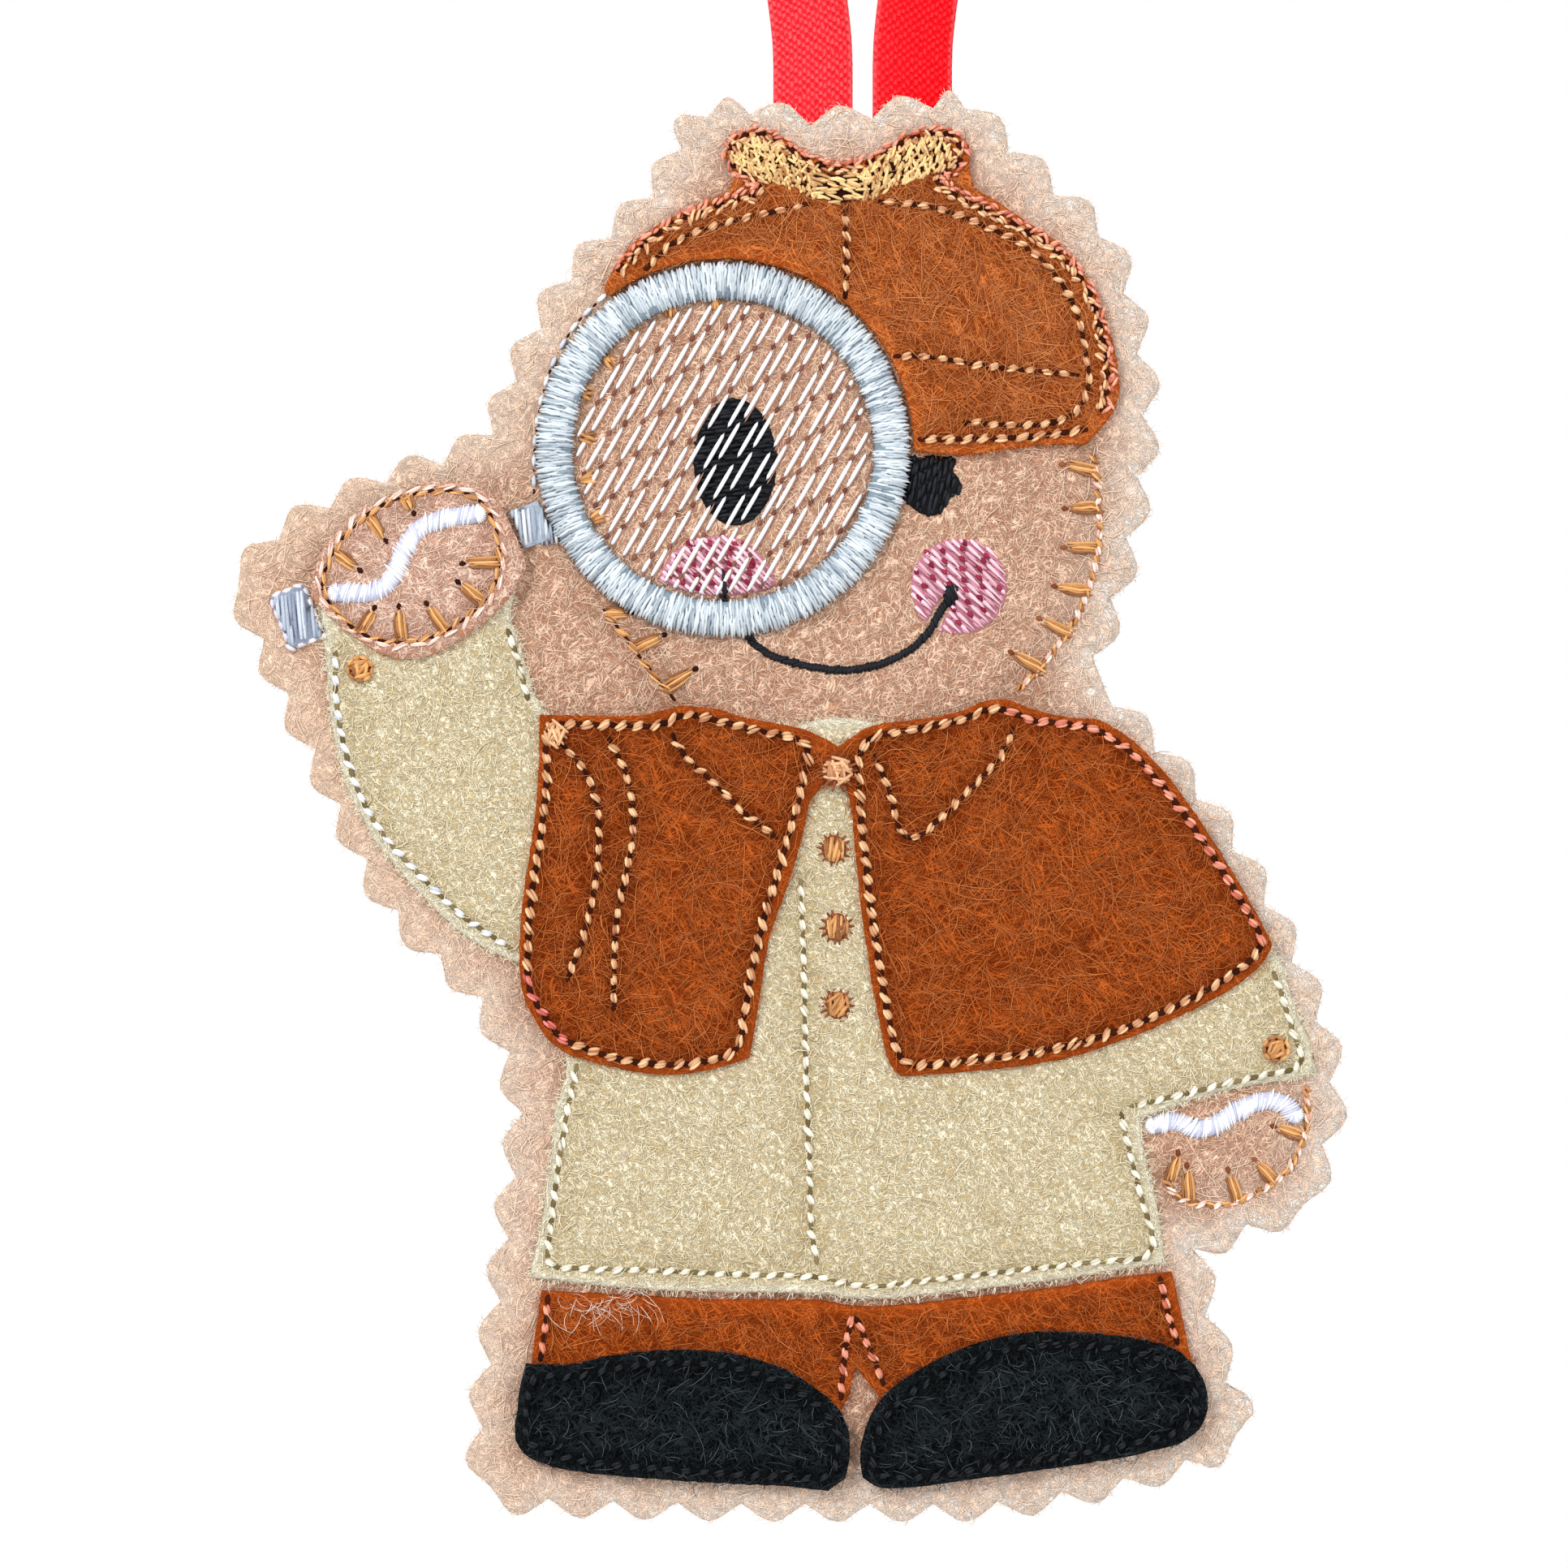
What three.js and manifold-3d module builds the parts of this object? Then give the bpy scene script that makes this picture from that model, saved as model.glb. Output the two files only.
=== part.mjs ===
// A hanging felt ornament: a gingerbread doll in a hat, coat and cape, looking through a magnifying glass.
// Sheets of craft felt are laid on each other, held by machine stitching, and cut out with pinking shears.
// Millimetres. +Z is up, the front faces -Y and +X is the viewer's right.
// The origin is the inside of the ribbon loop's top, where a hook carries the ornament.
import * as THREE from 'three';
import { mergeVertices } from 'three/addons/utils/BufferGeometryUtils.js';
import Module from 'manifold-3d';

const wasm = await Module();
wasm.setup();

// The felt figure
const FIGURE_WIDTH = 89;
const FIGURE_HEIGHT = 115;
const BASE_FELT = 1.2; // thickness of the front and back felts
const GARMENT_FELT = 1.0; // thickness of the hat, coat, trousers, cape, shoes and raised hand
const STABILISER = 0.3; // thickness of the sheet between the felts
const TOOTH_DEPTH = 1.5; // how far a pinked tooth stands out of the cut line
const CLEARANCE = 0.3; // between neighbours that lie edge to edge
const OVERRUN = 1; // how far a cutting body passes the faces it cuts
const OUTLINE_STEP = 1.9; // distance between the points of a smooth outline

// The ribbon
const RIBBON_WIDTH = 6.35;
const RIBBON_THICKNESS = 0.3;
const RIBBON_SPACING = 7.95; // between the middles of the two legs where they leave the felt
const RIBBON_TAIL = 12; // length trapped between the felts
const FOLD_RISE = 1.2; // height of the ribbon's fold line above the felt
const FOLD_GAP = 0.3; // from the fold line to the loop above it and to the tails below it
const hangShare = 0.5687; // where the ribbon's middle crosses the figure's width
const RIBBON_STEPS = 48; // cross-sections along the loop
const flatTopShare = 0.35; // the share of each leg, from the top down, where the ribbon stays edge on

// The magnifying glass
const RIM_RADIUS = 14.9; // outer
const LENS_RADIUS = 11.9; // the rim's inner radius
const RIM_HEIGHT = 1.6;
const RIM_SEGMENTS = 48;
const HANDLE_WIDTH = 3.2;
const FERRULE_LENGTH = 2.4;
const HANDLE_CAP_WIDTH = 4.4;
const HANDLE_CAP_LENGTH = 2.8;
const HANDLE_HEIGHT = 0.8;
const HATCH_SPACING = 1.2; // between neighbouring lines of the glass's hatch
const HATCH_WIDTH = 0.3;
const HATCH_HEIGHT = 0.2;
const HATCH_ANGLE = THREE.MathUtils.degToRad(60);
const rimCentreShare = [0.4433, 0.7445];
const handleEndShare = [0.062, 0.629];

// Embroidery
const STITCH_PITCH = 1.8; // one stitch and the needle hole beside it
const STITCH_WIDTH = 0.75;
const STITCH_CREST = 0.35;
const BACK_STITCH_PITCH = 3.2;
const holeShare = 0.4; // width and height of a seam at a needle hole, as a share of its crest
const DASH_WIDTH = 0.95;
const ICING_WIDTH = 1.25;
const ICING_CREST = 0.5;
const SMILE_WIDTH = 0.8;
const BAND_STEP = 1.1; // distance between the cross-sections of a satin band
const bandEndShare = 0.78; // width and height of a satin band at its ends, as a share of its full size
const ARC_POINTS = 5; // on the rounded front of a satin band
const PATCH_HEIGHT = 0.25; // eyes and cheeks
const PATCH_SIDES = 24;
const domeShares = [[1, 0], [1, 1 / 3], [3 / 4, 1]]; // a patch's edge, shoulder and top: radius and height
const BOW_HEIGHT = 0.6;
const COAT_BUTTON_RADIUS = 1.55;
const CUFF_BUTTON_RADIUS = 1.2;
const NECK_BUTTON_RADIUS = 1.45;
const BUTTON_HEIGHT = 0.7;
const BUTTON_RAYS = 9;
const rayShare = 0.78; // radius between the rays of a button, as a share of its full radius
const MAGNIFIED_EYE = [3.3, 5.05]; // half width and half height
const OPEN_EYE = [2.4, 4.1];
const CHEEK_RADIUS = 3.8;
const MAGNIFIED_CHEEK_RADIUS = 4.85;
const SMILE_ROOM = 0.35; // felt left bare beside the smile where it crosses a cheek

// Layers, as distances in front of the middle of the stack. Each one lies on the one before it.
const INNER_GAP = Math.max(STABILISER, RIBBON_THICKNESS);
const FRONT_FELT_BACK = INNER_GAP / 2;
const FRONT_FELT_TOP = FRONT_FELT_BACK + BASE_FELT;
const GARMENT_TOP = FRONT_FELT_TOP + GARMENT_FELT;
const OVERLAY_TOP = GARMENT_TOP + GARMENT_FELT;
const GROOVE_FLOOR = FRONT_FELT_TOP - STITCH_CREST; // behind the middle: the seam on the back felt sinks in

// The ribbon loop's centre line, right leg from the top down, as [x, z] from the loop's inside top
const loopRoute = [
  [0, RIBBON_THICKNESS / 2], [5.1, -0.9], [9.3, -3.8], [12.1, -8.1], [13.2, -13.2], [13.1, -18.6],
  [12.3, -24.2], [11.1, -30], [9.7, -36], [8.2, -42], [6.8, -48], [5.6, -54], [4.6, -59.5], [4.1, -63.5],
  [RIBBON_SPACING / 2, -66],
];
const LOOP_DROP = -loopRoute.at(-1)[1];
const FOLD_HEIGHT = -LOOP_DROP - FOLD_GAP;
const FIGURE_BOTTOM = FOLD_HEIGHT - FOLD_RISE - FIGURE_HEIGHT;

const tanFelt = new THREE.MeshStandardMaterial({ color: 0xe0bc9c, roughness: 0.95, metalness: 0 });
const handFelt = new THREE.MeshStandardMaterial({ color: 0xd9a787, roughness: 0.95, metalness: 0 });
const creamFelt = new THREE.MeshStandardMaterial({ color: 0xd8cda8, roughness: 0.95, metalness: 0 });
const rustFelt = new THREE.MeshStandardMaterial({ color: 0x9c4a1c, roughness: 0.95, metalness: 0 });
const blackFelt = new THREE.MeshStandardMaterial({ color: 0x1d2022, roughness: 0.95, metalness: 0 });
const paleSheet = new THREE.MeshStandardMaterial({ color: 0xf2f0ea, roughness: 0.9, metalness: 0 });
const redRibbon = new THREE.MeshStandardMaterial({ color: 0xe0202c, roughness: 0.6, metalness: 0 });
const goldThread = new THREE.MeshStandardMaterial({ color: 0xd9a860, roughness: 0.5, metalness: 0 });
const paleGoldThread = new THREE.MeshStandardMaterial({ color: 0xe6c896, roughness: 0.5, metalness: 0 });
const salmonThread = new THREE.MeshStandardMaterial({ color: 0xe79a86, roughness: 0.5, metalness: 0 });
const whiteThread = new THREE.MeshStandardMaterial({ color: 0xf4f3ee, roughness: 0.5, metalness: 0 });
const iceThread = new THREE.MeshStandardMaterial({ color: 0xcfe4ee, roughness: 0.45, metalness: 0 });
const pinkThread = new THREE.MeshStandardMaterial({ color: 0xd58a9a, roughness: 0.5, metalness: 0 });
const blackThread = new THREE.MeshStandardMaterial({ color: 0x15171a, roughness: 0.5, metalness: 0 });

// The pinked cut line, clockwise from the right of the ribbon, as runs of teeth between two notches.
// A run without teeth is a straight snip.
const pinkedRuns = [
  { teeth: 10, lineShares: [[0.66, 0.982], [0.742, 0.92], [0.785, 0.888], [0.815, 0.807], [0.819, 0.761],
    [0.804, 0.681], [0.775, 0.601]] },
  { teeth: 0, lineShares: [[0.775, 0.601], [0.792, 0.567]] },
  { teeth: 9, lineShares: [[0.792, 0.567], [0.873, 0.497], [0.932, 0.423], [0.975, 0.346], [0.988, 0.3],
    [0.981, 0.264], [0.964, 0.221]] },
  { teeth: 2, lineShares: [[0.964, 0.221], [0.914, 0.208], [0.862, 0.191]] },
  { teeth: 2, lineShares: [[0.862, 0.191], [0.876, 0.141], [0.894, 0.096]] },
  { teeth: 2, lineShares: [[0.894, 0.096], [0.905, 0.063], [0.858, 0.044]] },
  { teeth: 10, lineShares: [[0.858, 0.044], [0.8, 0.031], [0.69, 0.015], [0.572, 0.0135], [0.401, 0.0145],
    [0.287, 0.017]] },
  { teeth: 2, lineShares: [[0.287, 0.017], [0.236, 0.024], [0.228, 0.066]] },
  { teeth: 6, lineShares: [[0.228, 0.066], [0.244, 0.153], [0.258, 0.241], [0.264, 0.285], [0.252, 0.327]] },
  { teeth: 9, lineShares: [[0.252, 0.327], [0.227, 0.366], [0.15, 0.427], [0.099, 0.502], [0.054, 0.577],
    [0.009, 0.652]] },
  { teeth: 5, lineShares: [[0.009, 0.652], [0.051, 0.686], [0.148, 0.724], [0.202, 0.737], [0.238, 0.755]] },
  { teeth: 6, lineShares: [[0.238, 0.755], [0.279, 0.827], [0.307, 0.862], [0.343, 0.892], [0.381, 0.92],
    [0.408, 0.954]] },
  { teeth: 2, lineShares: [[0.408, 0.954], [0.421, 0.973], [0.467, 0.978]] },
  { teeth: 3, lineShares: [[0.467, 0.978], [0.525, 0.97], [0.578, 0.975], [0.632, 0.982]] },
  { teeth: 1, lineShares: [[0.632, 0.982], [0.66, 0.982]] },
];
const shoulderShare = 0.36; // where a tooth's rounded tip begins, as a share of its pitch
const shoulderDepthShare = 0.86; // and as a share of its depth

const stabiliserShares = [
  [0.37, 0.875], [0.43, 0.92], [0.68, 0.92], [0.75, 0.87], [0.785, 0.8], [0.785, 0.74], [0.77, 0.66],
  [0.74, 0.59], [0.76, 0.54], [0.83, 0.5], [0.89, 0.42], [0.935, 0.35], [0.95, 0.29], [0.93, 0.245],
  [0.835, 0.22], [0.835, 0.15], [0.86, 0.1], [0.85, 0.065], [0.72, 0.045], [0.3, 0.045], [0.265, 0.07],
  [0.28, 0.16], [0.3, 0.28], [0.285, 0.35], [0.2, 0.43], [0.13, 0.52], [0.085, 0.6], [0.06, 0.64],
  [0.09, 0.675], [0.2, 0.71], [0.27, 0.74], [0.3, 0.81],
];

// Felt outlines: smooth stretches of points. A corner lies where one stretch ends and the next starts.
const hatOutlineShares = [
  [[0.337, 0.855], [0.352, 0.878], [0.375, 0.895], [0.405, 0.908], [0.44, 0.92], [0.458, 0.929],
    [0.448, 0.942], [0.445, 0.953], [0.455, 0.962], [0.472, 0.967], [0.489, 0.964], [0.51, 0.953],
    [0.545, 0.942], [0.58, 0.948], [0.605, 0.961], [0.628, 0.967], [0.65, 0.965], [0.664, 0.955],
    [0.665, 0.942], [0.662, 0.93], [0.69, 0.915], [0.72, 0.9], [0.748, 0.884], [0.768, 0.864],
    [0.782, 0.842], [0.793, 0.815], [0.798, 0.79], [0.793, 0.77], [0.78, 0.758]],
  [[0.768, 0.748], [0.735, 0.748], [0.7, 0.745], [0.66, 0.741], [0.63, 0.742]],
  [[0.6, 0.745]],
  [[0.5, 0.745]],
  [[0.42, 0.8]],
];
const coatOutlineShares = [
  [[0.3, 0.552], [0.4, 0.556], [0.47, 0.549], [0.505, 0.553], [0.545, 0.559], [0.585, 0.555], [0.64, 0.55],
    [0.7, 0.556], [0.78, 0.546], [0.84, 0.507], [0.89, 0.446], [0.925, 0.404], [0.94, 0.394],
    [0.953, 0.364], [0.966, 0.337], [0.973, 0.312]],
  [[0.955, 0.309], [0.93, 0.306], [0.9, 0.302], [0.87, 0.296], [0.84, 0.288]],
  [[0.817, 0.282], [0.82, 0.26], [0.828, 0.235], [0.835, 0.205]],
  [[0.84, 0.181], [0.8, 0.1765], [0.74, 0.169], [0.66, 0.162], [0.6, 0.157], [0.565, 0.156], [0.53, 0.16],
    [0.44, 0.161], [0.35, 0.164]],
  [[0.27, 0.1715], [0.28, 0.205], [0.287, 0.24], [0.294, 0.285], [0.303, 0.325], [0.275, 0.36]],
  [[0.263, 0.388], [0.22, 0.404], [0.17, 0.439], [0.13, 0.477], [0.107, 0.512], [0.094, 0.55], [0.088, 0.6],
    [0.083, 0.63], [0.087, 0.66], [0.105, 0.687], [0.14, 0.705], [0.18, 0.714], [0.215, 0.715], [0.24, 0.703],
    [0.252, 0.68], [0.258, 0.655]],
  [[0.253, 0.63], [0.266, 0.598], [0.278, 0.57]],
];
const trousersOutlineShares = [
  [[0.281, 0.162]],
  [[0.275, 0.13], [0.27, 0.1], [0.264, 0.075]],
  [[0.266, 0.056], [0.3, 0.043], [0.4, 0.037], [0.5, 0.032], [0.54, 0.03]],
  [[0.551, 0.038], [0.552, 0.06], [0.548, 0.078]],
  [[0.555, 0.088]],
  [[0.562, 0.11]],
  [[0.583, 0.089]],
  [[0.574, 0.068], [0.571, 0.045]],
  [[0.577, 0.033], [0.64, 0.034], [0.72, 0.043], [0.8, 0.053], [0.855, 0.067]],
  [[0.868, 0.075], [0.869, 0.095], [0.862, 0.115], [0.855, 0.14]],
  [[0.845, 0.175]],
  [[0.8, 0.171], [0.74, 0.164], [0.66, 0.157], [0.6, 0.152], [0.565, 0.151], [0.53, 0.155],
    [0.44, 0.156], [0.35, 0.159]],
];
const capeOutlineShares = [
  [[0.28, 0.561], [0.33, 0.56], [0.375, 0.561], [0.405, 0.567], [0.44, 0.564], [0.475, 0.557], [0.515, 0.551],
    [0.535, 0.544]],
  [[0.546, 0.539]],
  [[0.556, 0.544], [0.575, 0.553], [0.61, 0.557], [0.65, 0.562], [0.688, 0.572], [0.72, 0.565],
    [0.75, 0.559], [0.78, 0.557], [0.815, 0.539], [0.845, 0.514], [0.88, 0.475], [0.91, 0.437]],
  [[0.934, 0.402]],
  [[0.925, 0.389], [0.9, 0.373], [0.86, 0.356], [0.8, 0.336], [0.74, 0.322], [0.67, 0.315]],
  [[0.602, 0.311]],
  [[0.592, 0.32], [0.584, 0.345], [0.577, 0.375], [0.569, 0.415], [0.563, 0.455], [0.558, 0.495]],
  [[0.553, 0.512]],
  [[0.532, 0.512]],
  [[0.521, 0.5], [0.514, 0.475], [0.5, 0.44], [0.486, 0.41], [0.479, 0.38], [0.473, 0.35]],
  [[0.467, 0.324], [0.44, 0.317], [0.4, 0.312], [0.36, 0.315], [0.32, 0.323], [0.293, 0.332], [0.276, 0.35],
    [0.264, 0.37], [0.262, 0.4], [0.266, 0.44], [0.274, 0.48], [0.279, 0.52]],
];
const leftShoeOutlineShares = [
  [[0.268, 0.112], [0.3, 0.111], [0.34, 0.1175], [0.4, 0.122], [0.46, 0.118], [0.505, 0.106], [0.54, 0.086],
    [0.554, 0.071], [0.556, 0.045], [0.547, 0.0265], [0.5, 0.028], [0.4, 0.032], [0.3, 0.04], [0.268, 0.049],
    [0.258, 0.06], [0.261, 0.085]],
];
const rightShoeOutlineShares = [
  [[0.566, 0.05], [0.571, 0.03], [0.6, 0.0265], [0.66, 0.032], [0.74, 0.0405], [0.82, 0.051], [0.864, 0.063],
    [0.876, 0.08], [0.872, 0.102], [0.85, 0.121], [0.8, 0.131], [0.72, 0.134], [0.665, 0.125], [0.61, 0.104],
    [0.58, 0.083]],
];
const raisedHandOutlineShares = [
  [[0.076, 0.643], [0.083, 0.668], [0.102, 0.691], [0.135, 0.708], [0.175, 0.72], [0.215, 0.721],
    [0.243, 0.708], [0.257, 0.686], [0.268, 0.662], [0.252, 0.641], [0.225, 0.621], [0.19, 0.604],
    [0.155, 0.599], [0.125, 0.609], [0.098, 0.626]],
];
const bowOutlineShares = [
  [[0.456, 0.945], [0.461, 0.955], [0.472, 0.957], [0.488, 0.952], [0.515, 0.938], [0.545, 0.934],
    [0.575, 0.938], [0.605, 0.951], [0.628, 0.958], [0.643, 0.955], [0.645, 0.945], [0.625, 0.937],
    [0.59, 0.928], [0.568, 0.919], [0.548, 0.915], [0.528, 0.919], [0.505, 0.929], [0.475, 0.936]],
];

// Where the small embroidered things sit
const magnifiedEyeShare = [0.4542, 0.7361];
const openEyeShare = [0.631, 0.7345];
const openEyeTopShare = 0.737; // the hat's edge covers the eye above this height
const cheekShare = [0.6548, 0.65];
const magnifiedCheekShare = [0.4375, 0.6427];
const smileShares = [
  [0.473, 0.609], [0.497, 0.599], [0.547, 0.592], [0.589, 0.5976], [0.622, 0.6134], [0.645, 0.6415],
];
const raisedIcingShares = [
  [0.1, 0.645], [0.13, 0.645], [0.148, 0.654], [0.16, 0.675], [0.175, 0.69], [0.2, 0.6965], [0.224, 0.699],
];
const loweredIcingShares = [
  [0.829, 0.2765], [0.848, 0.279], [0.866, 0.274], [0.883, 0.276], [0.903, 0.286], [0.925, 0.293],
  [0.944, 0.292], [0.955, 0.284],
];
const neckButtonShare = [0.545, 0.522];
const coatButtonShares = {
  coat_button_top: [0.542, 0.468],
  coat_button_middle: [0.545, 0.414],
  coat_button_bottom: [0.545, 0.3605],
};
const cuffButtonShares = {
  cuff_button_left: [0.119, 0.5925],
  cuff_button_right: [0.937, 0.33],
};

// The seams, each a run of stitches on a layer. Dashes are short bars that start on their seam.
const seams = [
  { name: 'face_seam_right', layer: FRONT_FELT_TOP, thread: whiteThread,
    routeShares: [[0.776, 0.738], [0.7795, 0.715], [0.7805, 0.68], [0.7725, 0.652], [0.7558, 0.6224],
      [0.7304, 0.5965], [0.71, 0.58]],
    dashShares: [[[0.779, 0.73], [0.748, 0.7345]], [[0.782, 0.705], [0.75, 0.704]],
      [[0.782, 0.6765], [0.749, 0.677]], [[0.773, 0.647], [0.741, 0.65]], [[0.756, 0.6165], [0.727, 0.6275]],
      [[0.732, 0.591], [0.702, 0.604]]] },
  { name: 'face_seam_left', layer: FRONT_FELT_TOP, thread: whiteThread,
    routeShares: [[0.338, 0.633], [0.3568, 0.6139], [0.3794, 0.5903], [0.398, 0.573]],
    dashShares: [[[0.337, 0.632], [0.361, 0.632]], [[0.363, 0.607], [0.39, 0.6162]],
      [[0.391, 0.5796], [0.418, 0.5926]]] },
  { name: 'lowered_hand_seam', layer: FRONT_FELT_TOP, thread: whiteThread,
    routeShares: [[0.9665, 0.299], [0.967, 0.28], [0.962, 0.262], [0.95, 0.246], [0.935, 0.235], [0.9, 0.222],
      [0.87, 0.2215], [0.85, 0.227], [0.842, 0.236]],
    dashShares: [[[0.965, 0.268], [0.937, 0.2755]], [[0.938, 0.2365], [0.92, 0.252]],
      [[0.905, 0.2225], [0.896, 0.245]], [[0.861, 0.222], [0.859, 0.248]],
      [[0.843, 0.235], [0.851, 0.257]]] },
  { name: 'hat_outline_seam', layer: GARMENT_TOP, thread: salmonThread,
    routeShares: [[0.352, 0.87], [0.377, 0.889], [0.41, 0.905], [0.45, 0.916], [0.479, 0.924], [0.468, 0.932],
      [0.452, 0.943], [0.45, 0.952], [0.459, 0.9605], [0.474, 0.963], [0.49, 0.959], [0.515, 0.946],
      [0.545, 0.939], [0.577, 0.944], [0.605, 0.957], [0.63, 0.9635], [0.648, 0.961], [0.657, 0.951],
      [0.652, 0.941], [0.634, 0.932], [0.65, 0.921], [0.69, 0.906], [0.73, 0.888], [0.757, 0.869],
      [0.774, 0.847], [0.783, 0.82], [0.787, 0.792], [0.783, 0.773]] },
  { name: 'hat_inner_seam_left', layer: GARMENT_TOP, thread: paleGoldThread,
    routeShares: [[0.376, 0.871], [0.395, 0.885], [0.42, 0.895], [0.46, 0.904], [0.49, 0.909],
      [0.517, 0.914]] },
  { name: 'hat_inner_seam_right', layer: GARMENT_TOP, thread: paleGoldThread,
    routeShares: [[0.585, 0.916], [0.63, 0.912], [0.675, 0.9], [0.715, 0.884], [0.743, 0.863], [0.76, 0.838],
      [0.768, 0.81], [0.77, 0.788], [0.76, 0.7715], [0.735, 0.7625], [0.7, 0.7615], [0.662, 0.763]] },
  { name: 'hat_panel_seam', layer: GARMENT_TOP, thread: paleGoldThread,
    routeShares: [[0.553, 0.9085], [0.554, 0.88], [0.553, 0.852]] },
  { name: 'hat_brim_seam', layer: GARMENT_TOP, thread: paleGoldThread,
    routeShares: [[0.6, 0.809], [0.63, 0.8085], [0.67, 0.803], [0.71, 0.8], [0.757, 0.796]] },
  { name: 'hat_edge_seam', layer: GARMENT_TOP, thread: paleGoldThread,
    routeShares: [[0.622, 0.7515], [0.66, 0.7515], [0.7, 0.7525], [0.735, 0.7545], [0.765, 0.758]] },
  { name: 'left_sleeve_outer_seam', layer: GARMENT_TOP, thread: whiteThread,
    routeShares: [[0.097, 0.602], [0.098, 0.57], [0.106, 0.536], [0.12, 0.504], [0.142, 0.476],
      [0.175, 0.448], [0.21, 0.422], [0.252, 0.4]] },
  { name: 'left_sleeve_inner_seam', layer: GARMENT_TOP, thread: whiteThread,
    routeShares: [[0.252, 0.617], [0.26, 0.598], [0.268, 0.574]] },
  { name: 'coat_placket_seam', layer: GARMENT_TOP, thread: whiteThread,
    routeShares: [[0.513, 0.445], [0.516, 0.38], [0.5175, 0.32], [0.521, 0.25], [0.5225, 0.205],
      [0.527, 0.184]] },
  { name: 'coat_edge_seam', layer: GARMENT_TOP, thread: whiteThread,
    routeShares: [[0.3125, 0.316], [0.304, 0.285], [0.295, 0.24], [0.288, 0.195], [0.2885, 0.181],
      [0.302, 0.1785], [0.38, 0.1765], [0.46, 0.1735], [0.53, 0.1715], [0.57, 0.1655], [0.62, 0.169],
      [0.7, 0.176], [0.78, 0.1825], [0.822, 0.1865], [0.8275, 0.195], [0.817, 0.228], [0.806, 0.262],
      [0.8, 0.283]] },
  { name: 'right_sleeve_seam', layer: GARMENT_TOP, thread: whiteThread,
    routeShares: [[0.811, 0.2905], [0.85, 0.2975], [0.89, 0.305], [0.93, 0.312], [0.955, 0.3165],
      [0.9605, 0.322], [0.952, 0.344], [0.941, 0.371], [0.937, 0.38]] },
  { name: 'trousers_left_seam', layer: GARMENT_TOP, thread: salmonThread,
    routeShares: [[0.287, 0.156], [0.2845, 0.135], [0.281, 0.117]] },
  { name: 'trousers_right_seam', layer: GARMENT_TOP, thread: salmonThread,
    routeShares: [[0.835, 0.169], [0.842, 0.145], [0.849, 0.128]] },
  { name: 'trousers_split_seam', layer: GARMENT_TOP, thread: salmonThread,
    routeShares: [[0.549, 0.09], [0.552, 0.115], [0.556, 0.135], [0.561, 0.145], [0.567, 0.135],
      [0.577, 0.118], [0.586, 0.1]] },
  { name: 'cape_left_edge_seam', layer: OVERLAY_TOP, thread: paleGoldThread, closed: true,
    routeShares: [[0.291, 0.552], [0.34, 0.5535], [0.385, 0.5535], [0.41, 0.5605], [0.44, 0.5565],
      [0.475, 0.5495], [0.512, 0.543], [0.519, 0.536], [0.515, 0.516], [0.507, 0.49], [0.494, 0.455],
      [0.48, 0.42], [0.471, 0.39], [0.463, 0.355], [0.456, 0.331], [0.44, 0.324], [0.4, 0.3195],
      [0.36, 0.322], [0.32, 0.331], [0.298, 0.339], [0.283, 0.355], [0.271, 0.373], [0.27, 0.4],
      [0.273, 0.435], [0.281, 0.475], [0.287, 0.52], [0.286, 0.543]] },
  { name: 'cape_right_edge_seam', layer: OVERLAY_TOP, thread: salmonThread, closed: true,
    routeShares: [[0.575, 0.544], [0.61, 0.55], [0.65, 0.556], [0.688, 0.5645], [0.72, 0.557],
      [0.775, 0.5505], [0.808, 0.534], [0.84, 0.507], [0.875, 0.469], [0.903, 0.435], [0.923, 0.405],
      [0.918, 0.395], [0.89, 0.378], [0.85, 0.361], [0.8, 0.344], [0.74, 0.3305], [0.67, 0.323],
      [0.61, 0.32], [0.6, 0.327], [0.592, 0.35], [0.585, 0.38], [0.577, 0.42], [0.571, 0.46], [0.566, 0.5],
      [0.566, 0.533]] },
  { name: 'collar_left_seam', layer: OVERLAY_TOP, thread: paleGoldThread,
    routeShares: [[0.4, 0.545], [0.41, 0.532], [0.435, 0.514], [0.463, 0.493], [0.488, 0.478]] },
  { name: 'collar_right_seam', layer: OVERLAY_TOP, thread: paleGoldThread,
    routeShares: [[0.58, 0.53], [0.592, 0.508], [0.6, 0.485], [0.608, 0.476], [0.62, 0.478], [0.645, 0.495],
      [0.675, 0.518], [0.695, 0.536], [0.701, 0.549]] },
  { name: 'cape_outer_fold_seam', layer: OVERLAY_TOP, thread: paleGoldThread,
    routeShares: [[0.302, 0.539], [0.321, 0.521], [0.331, 0.5], [0.333, 0.47], [0.329, 0.44], [0.318, 0.405],
      [0.306, 0.38]] },
  { name: 'cape_inner_fold_seam', layer: OVERLAY_TOP, thread: paleGoldThread,
    routeShares: [[0.343, 0.543], [0.357, 0.52], [0.364, 0.485], [0.357, 0.45], [0.349, 0.42],
      [0.346, 0.36]] },
  { name: 'left_shoe_seam', layer: OVERLAY_TOP, thread: blackThread, closed: true,
    routeShares: [[0.276, 0.103], [0.31, 0.104], [0.35, 0.11], [0.4, 0.1135], [0.455, 0.11], [0.5, 0.098],
      [0.53, 0.083], [0.544, 0.069], [0.545, 0.048], [0.538, 0.036], [0.5, 0.0355], [0.4, 0.04],
      [0.31, 0.0475], [0.276, 0.056], [0.268, 0.066], [0.27, 0.088]] },
  { name: 'right_shoe_seam', layer: OVERLAY_TOP, thread: blackThread, closed: true,
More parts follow.
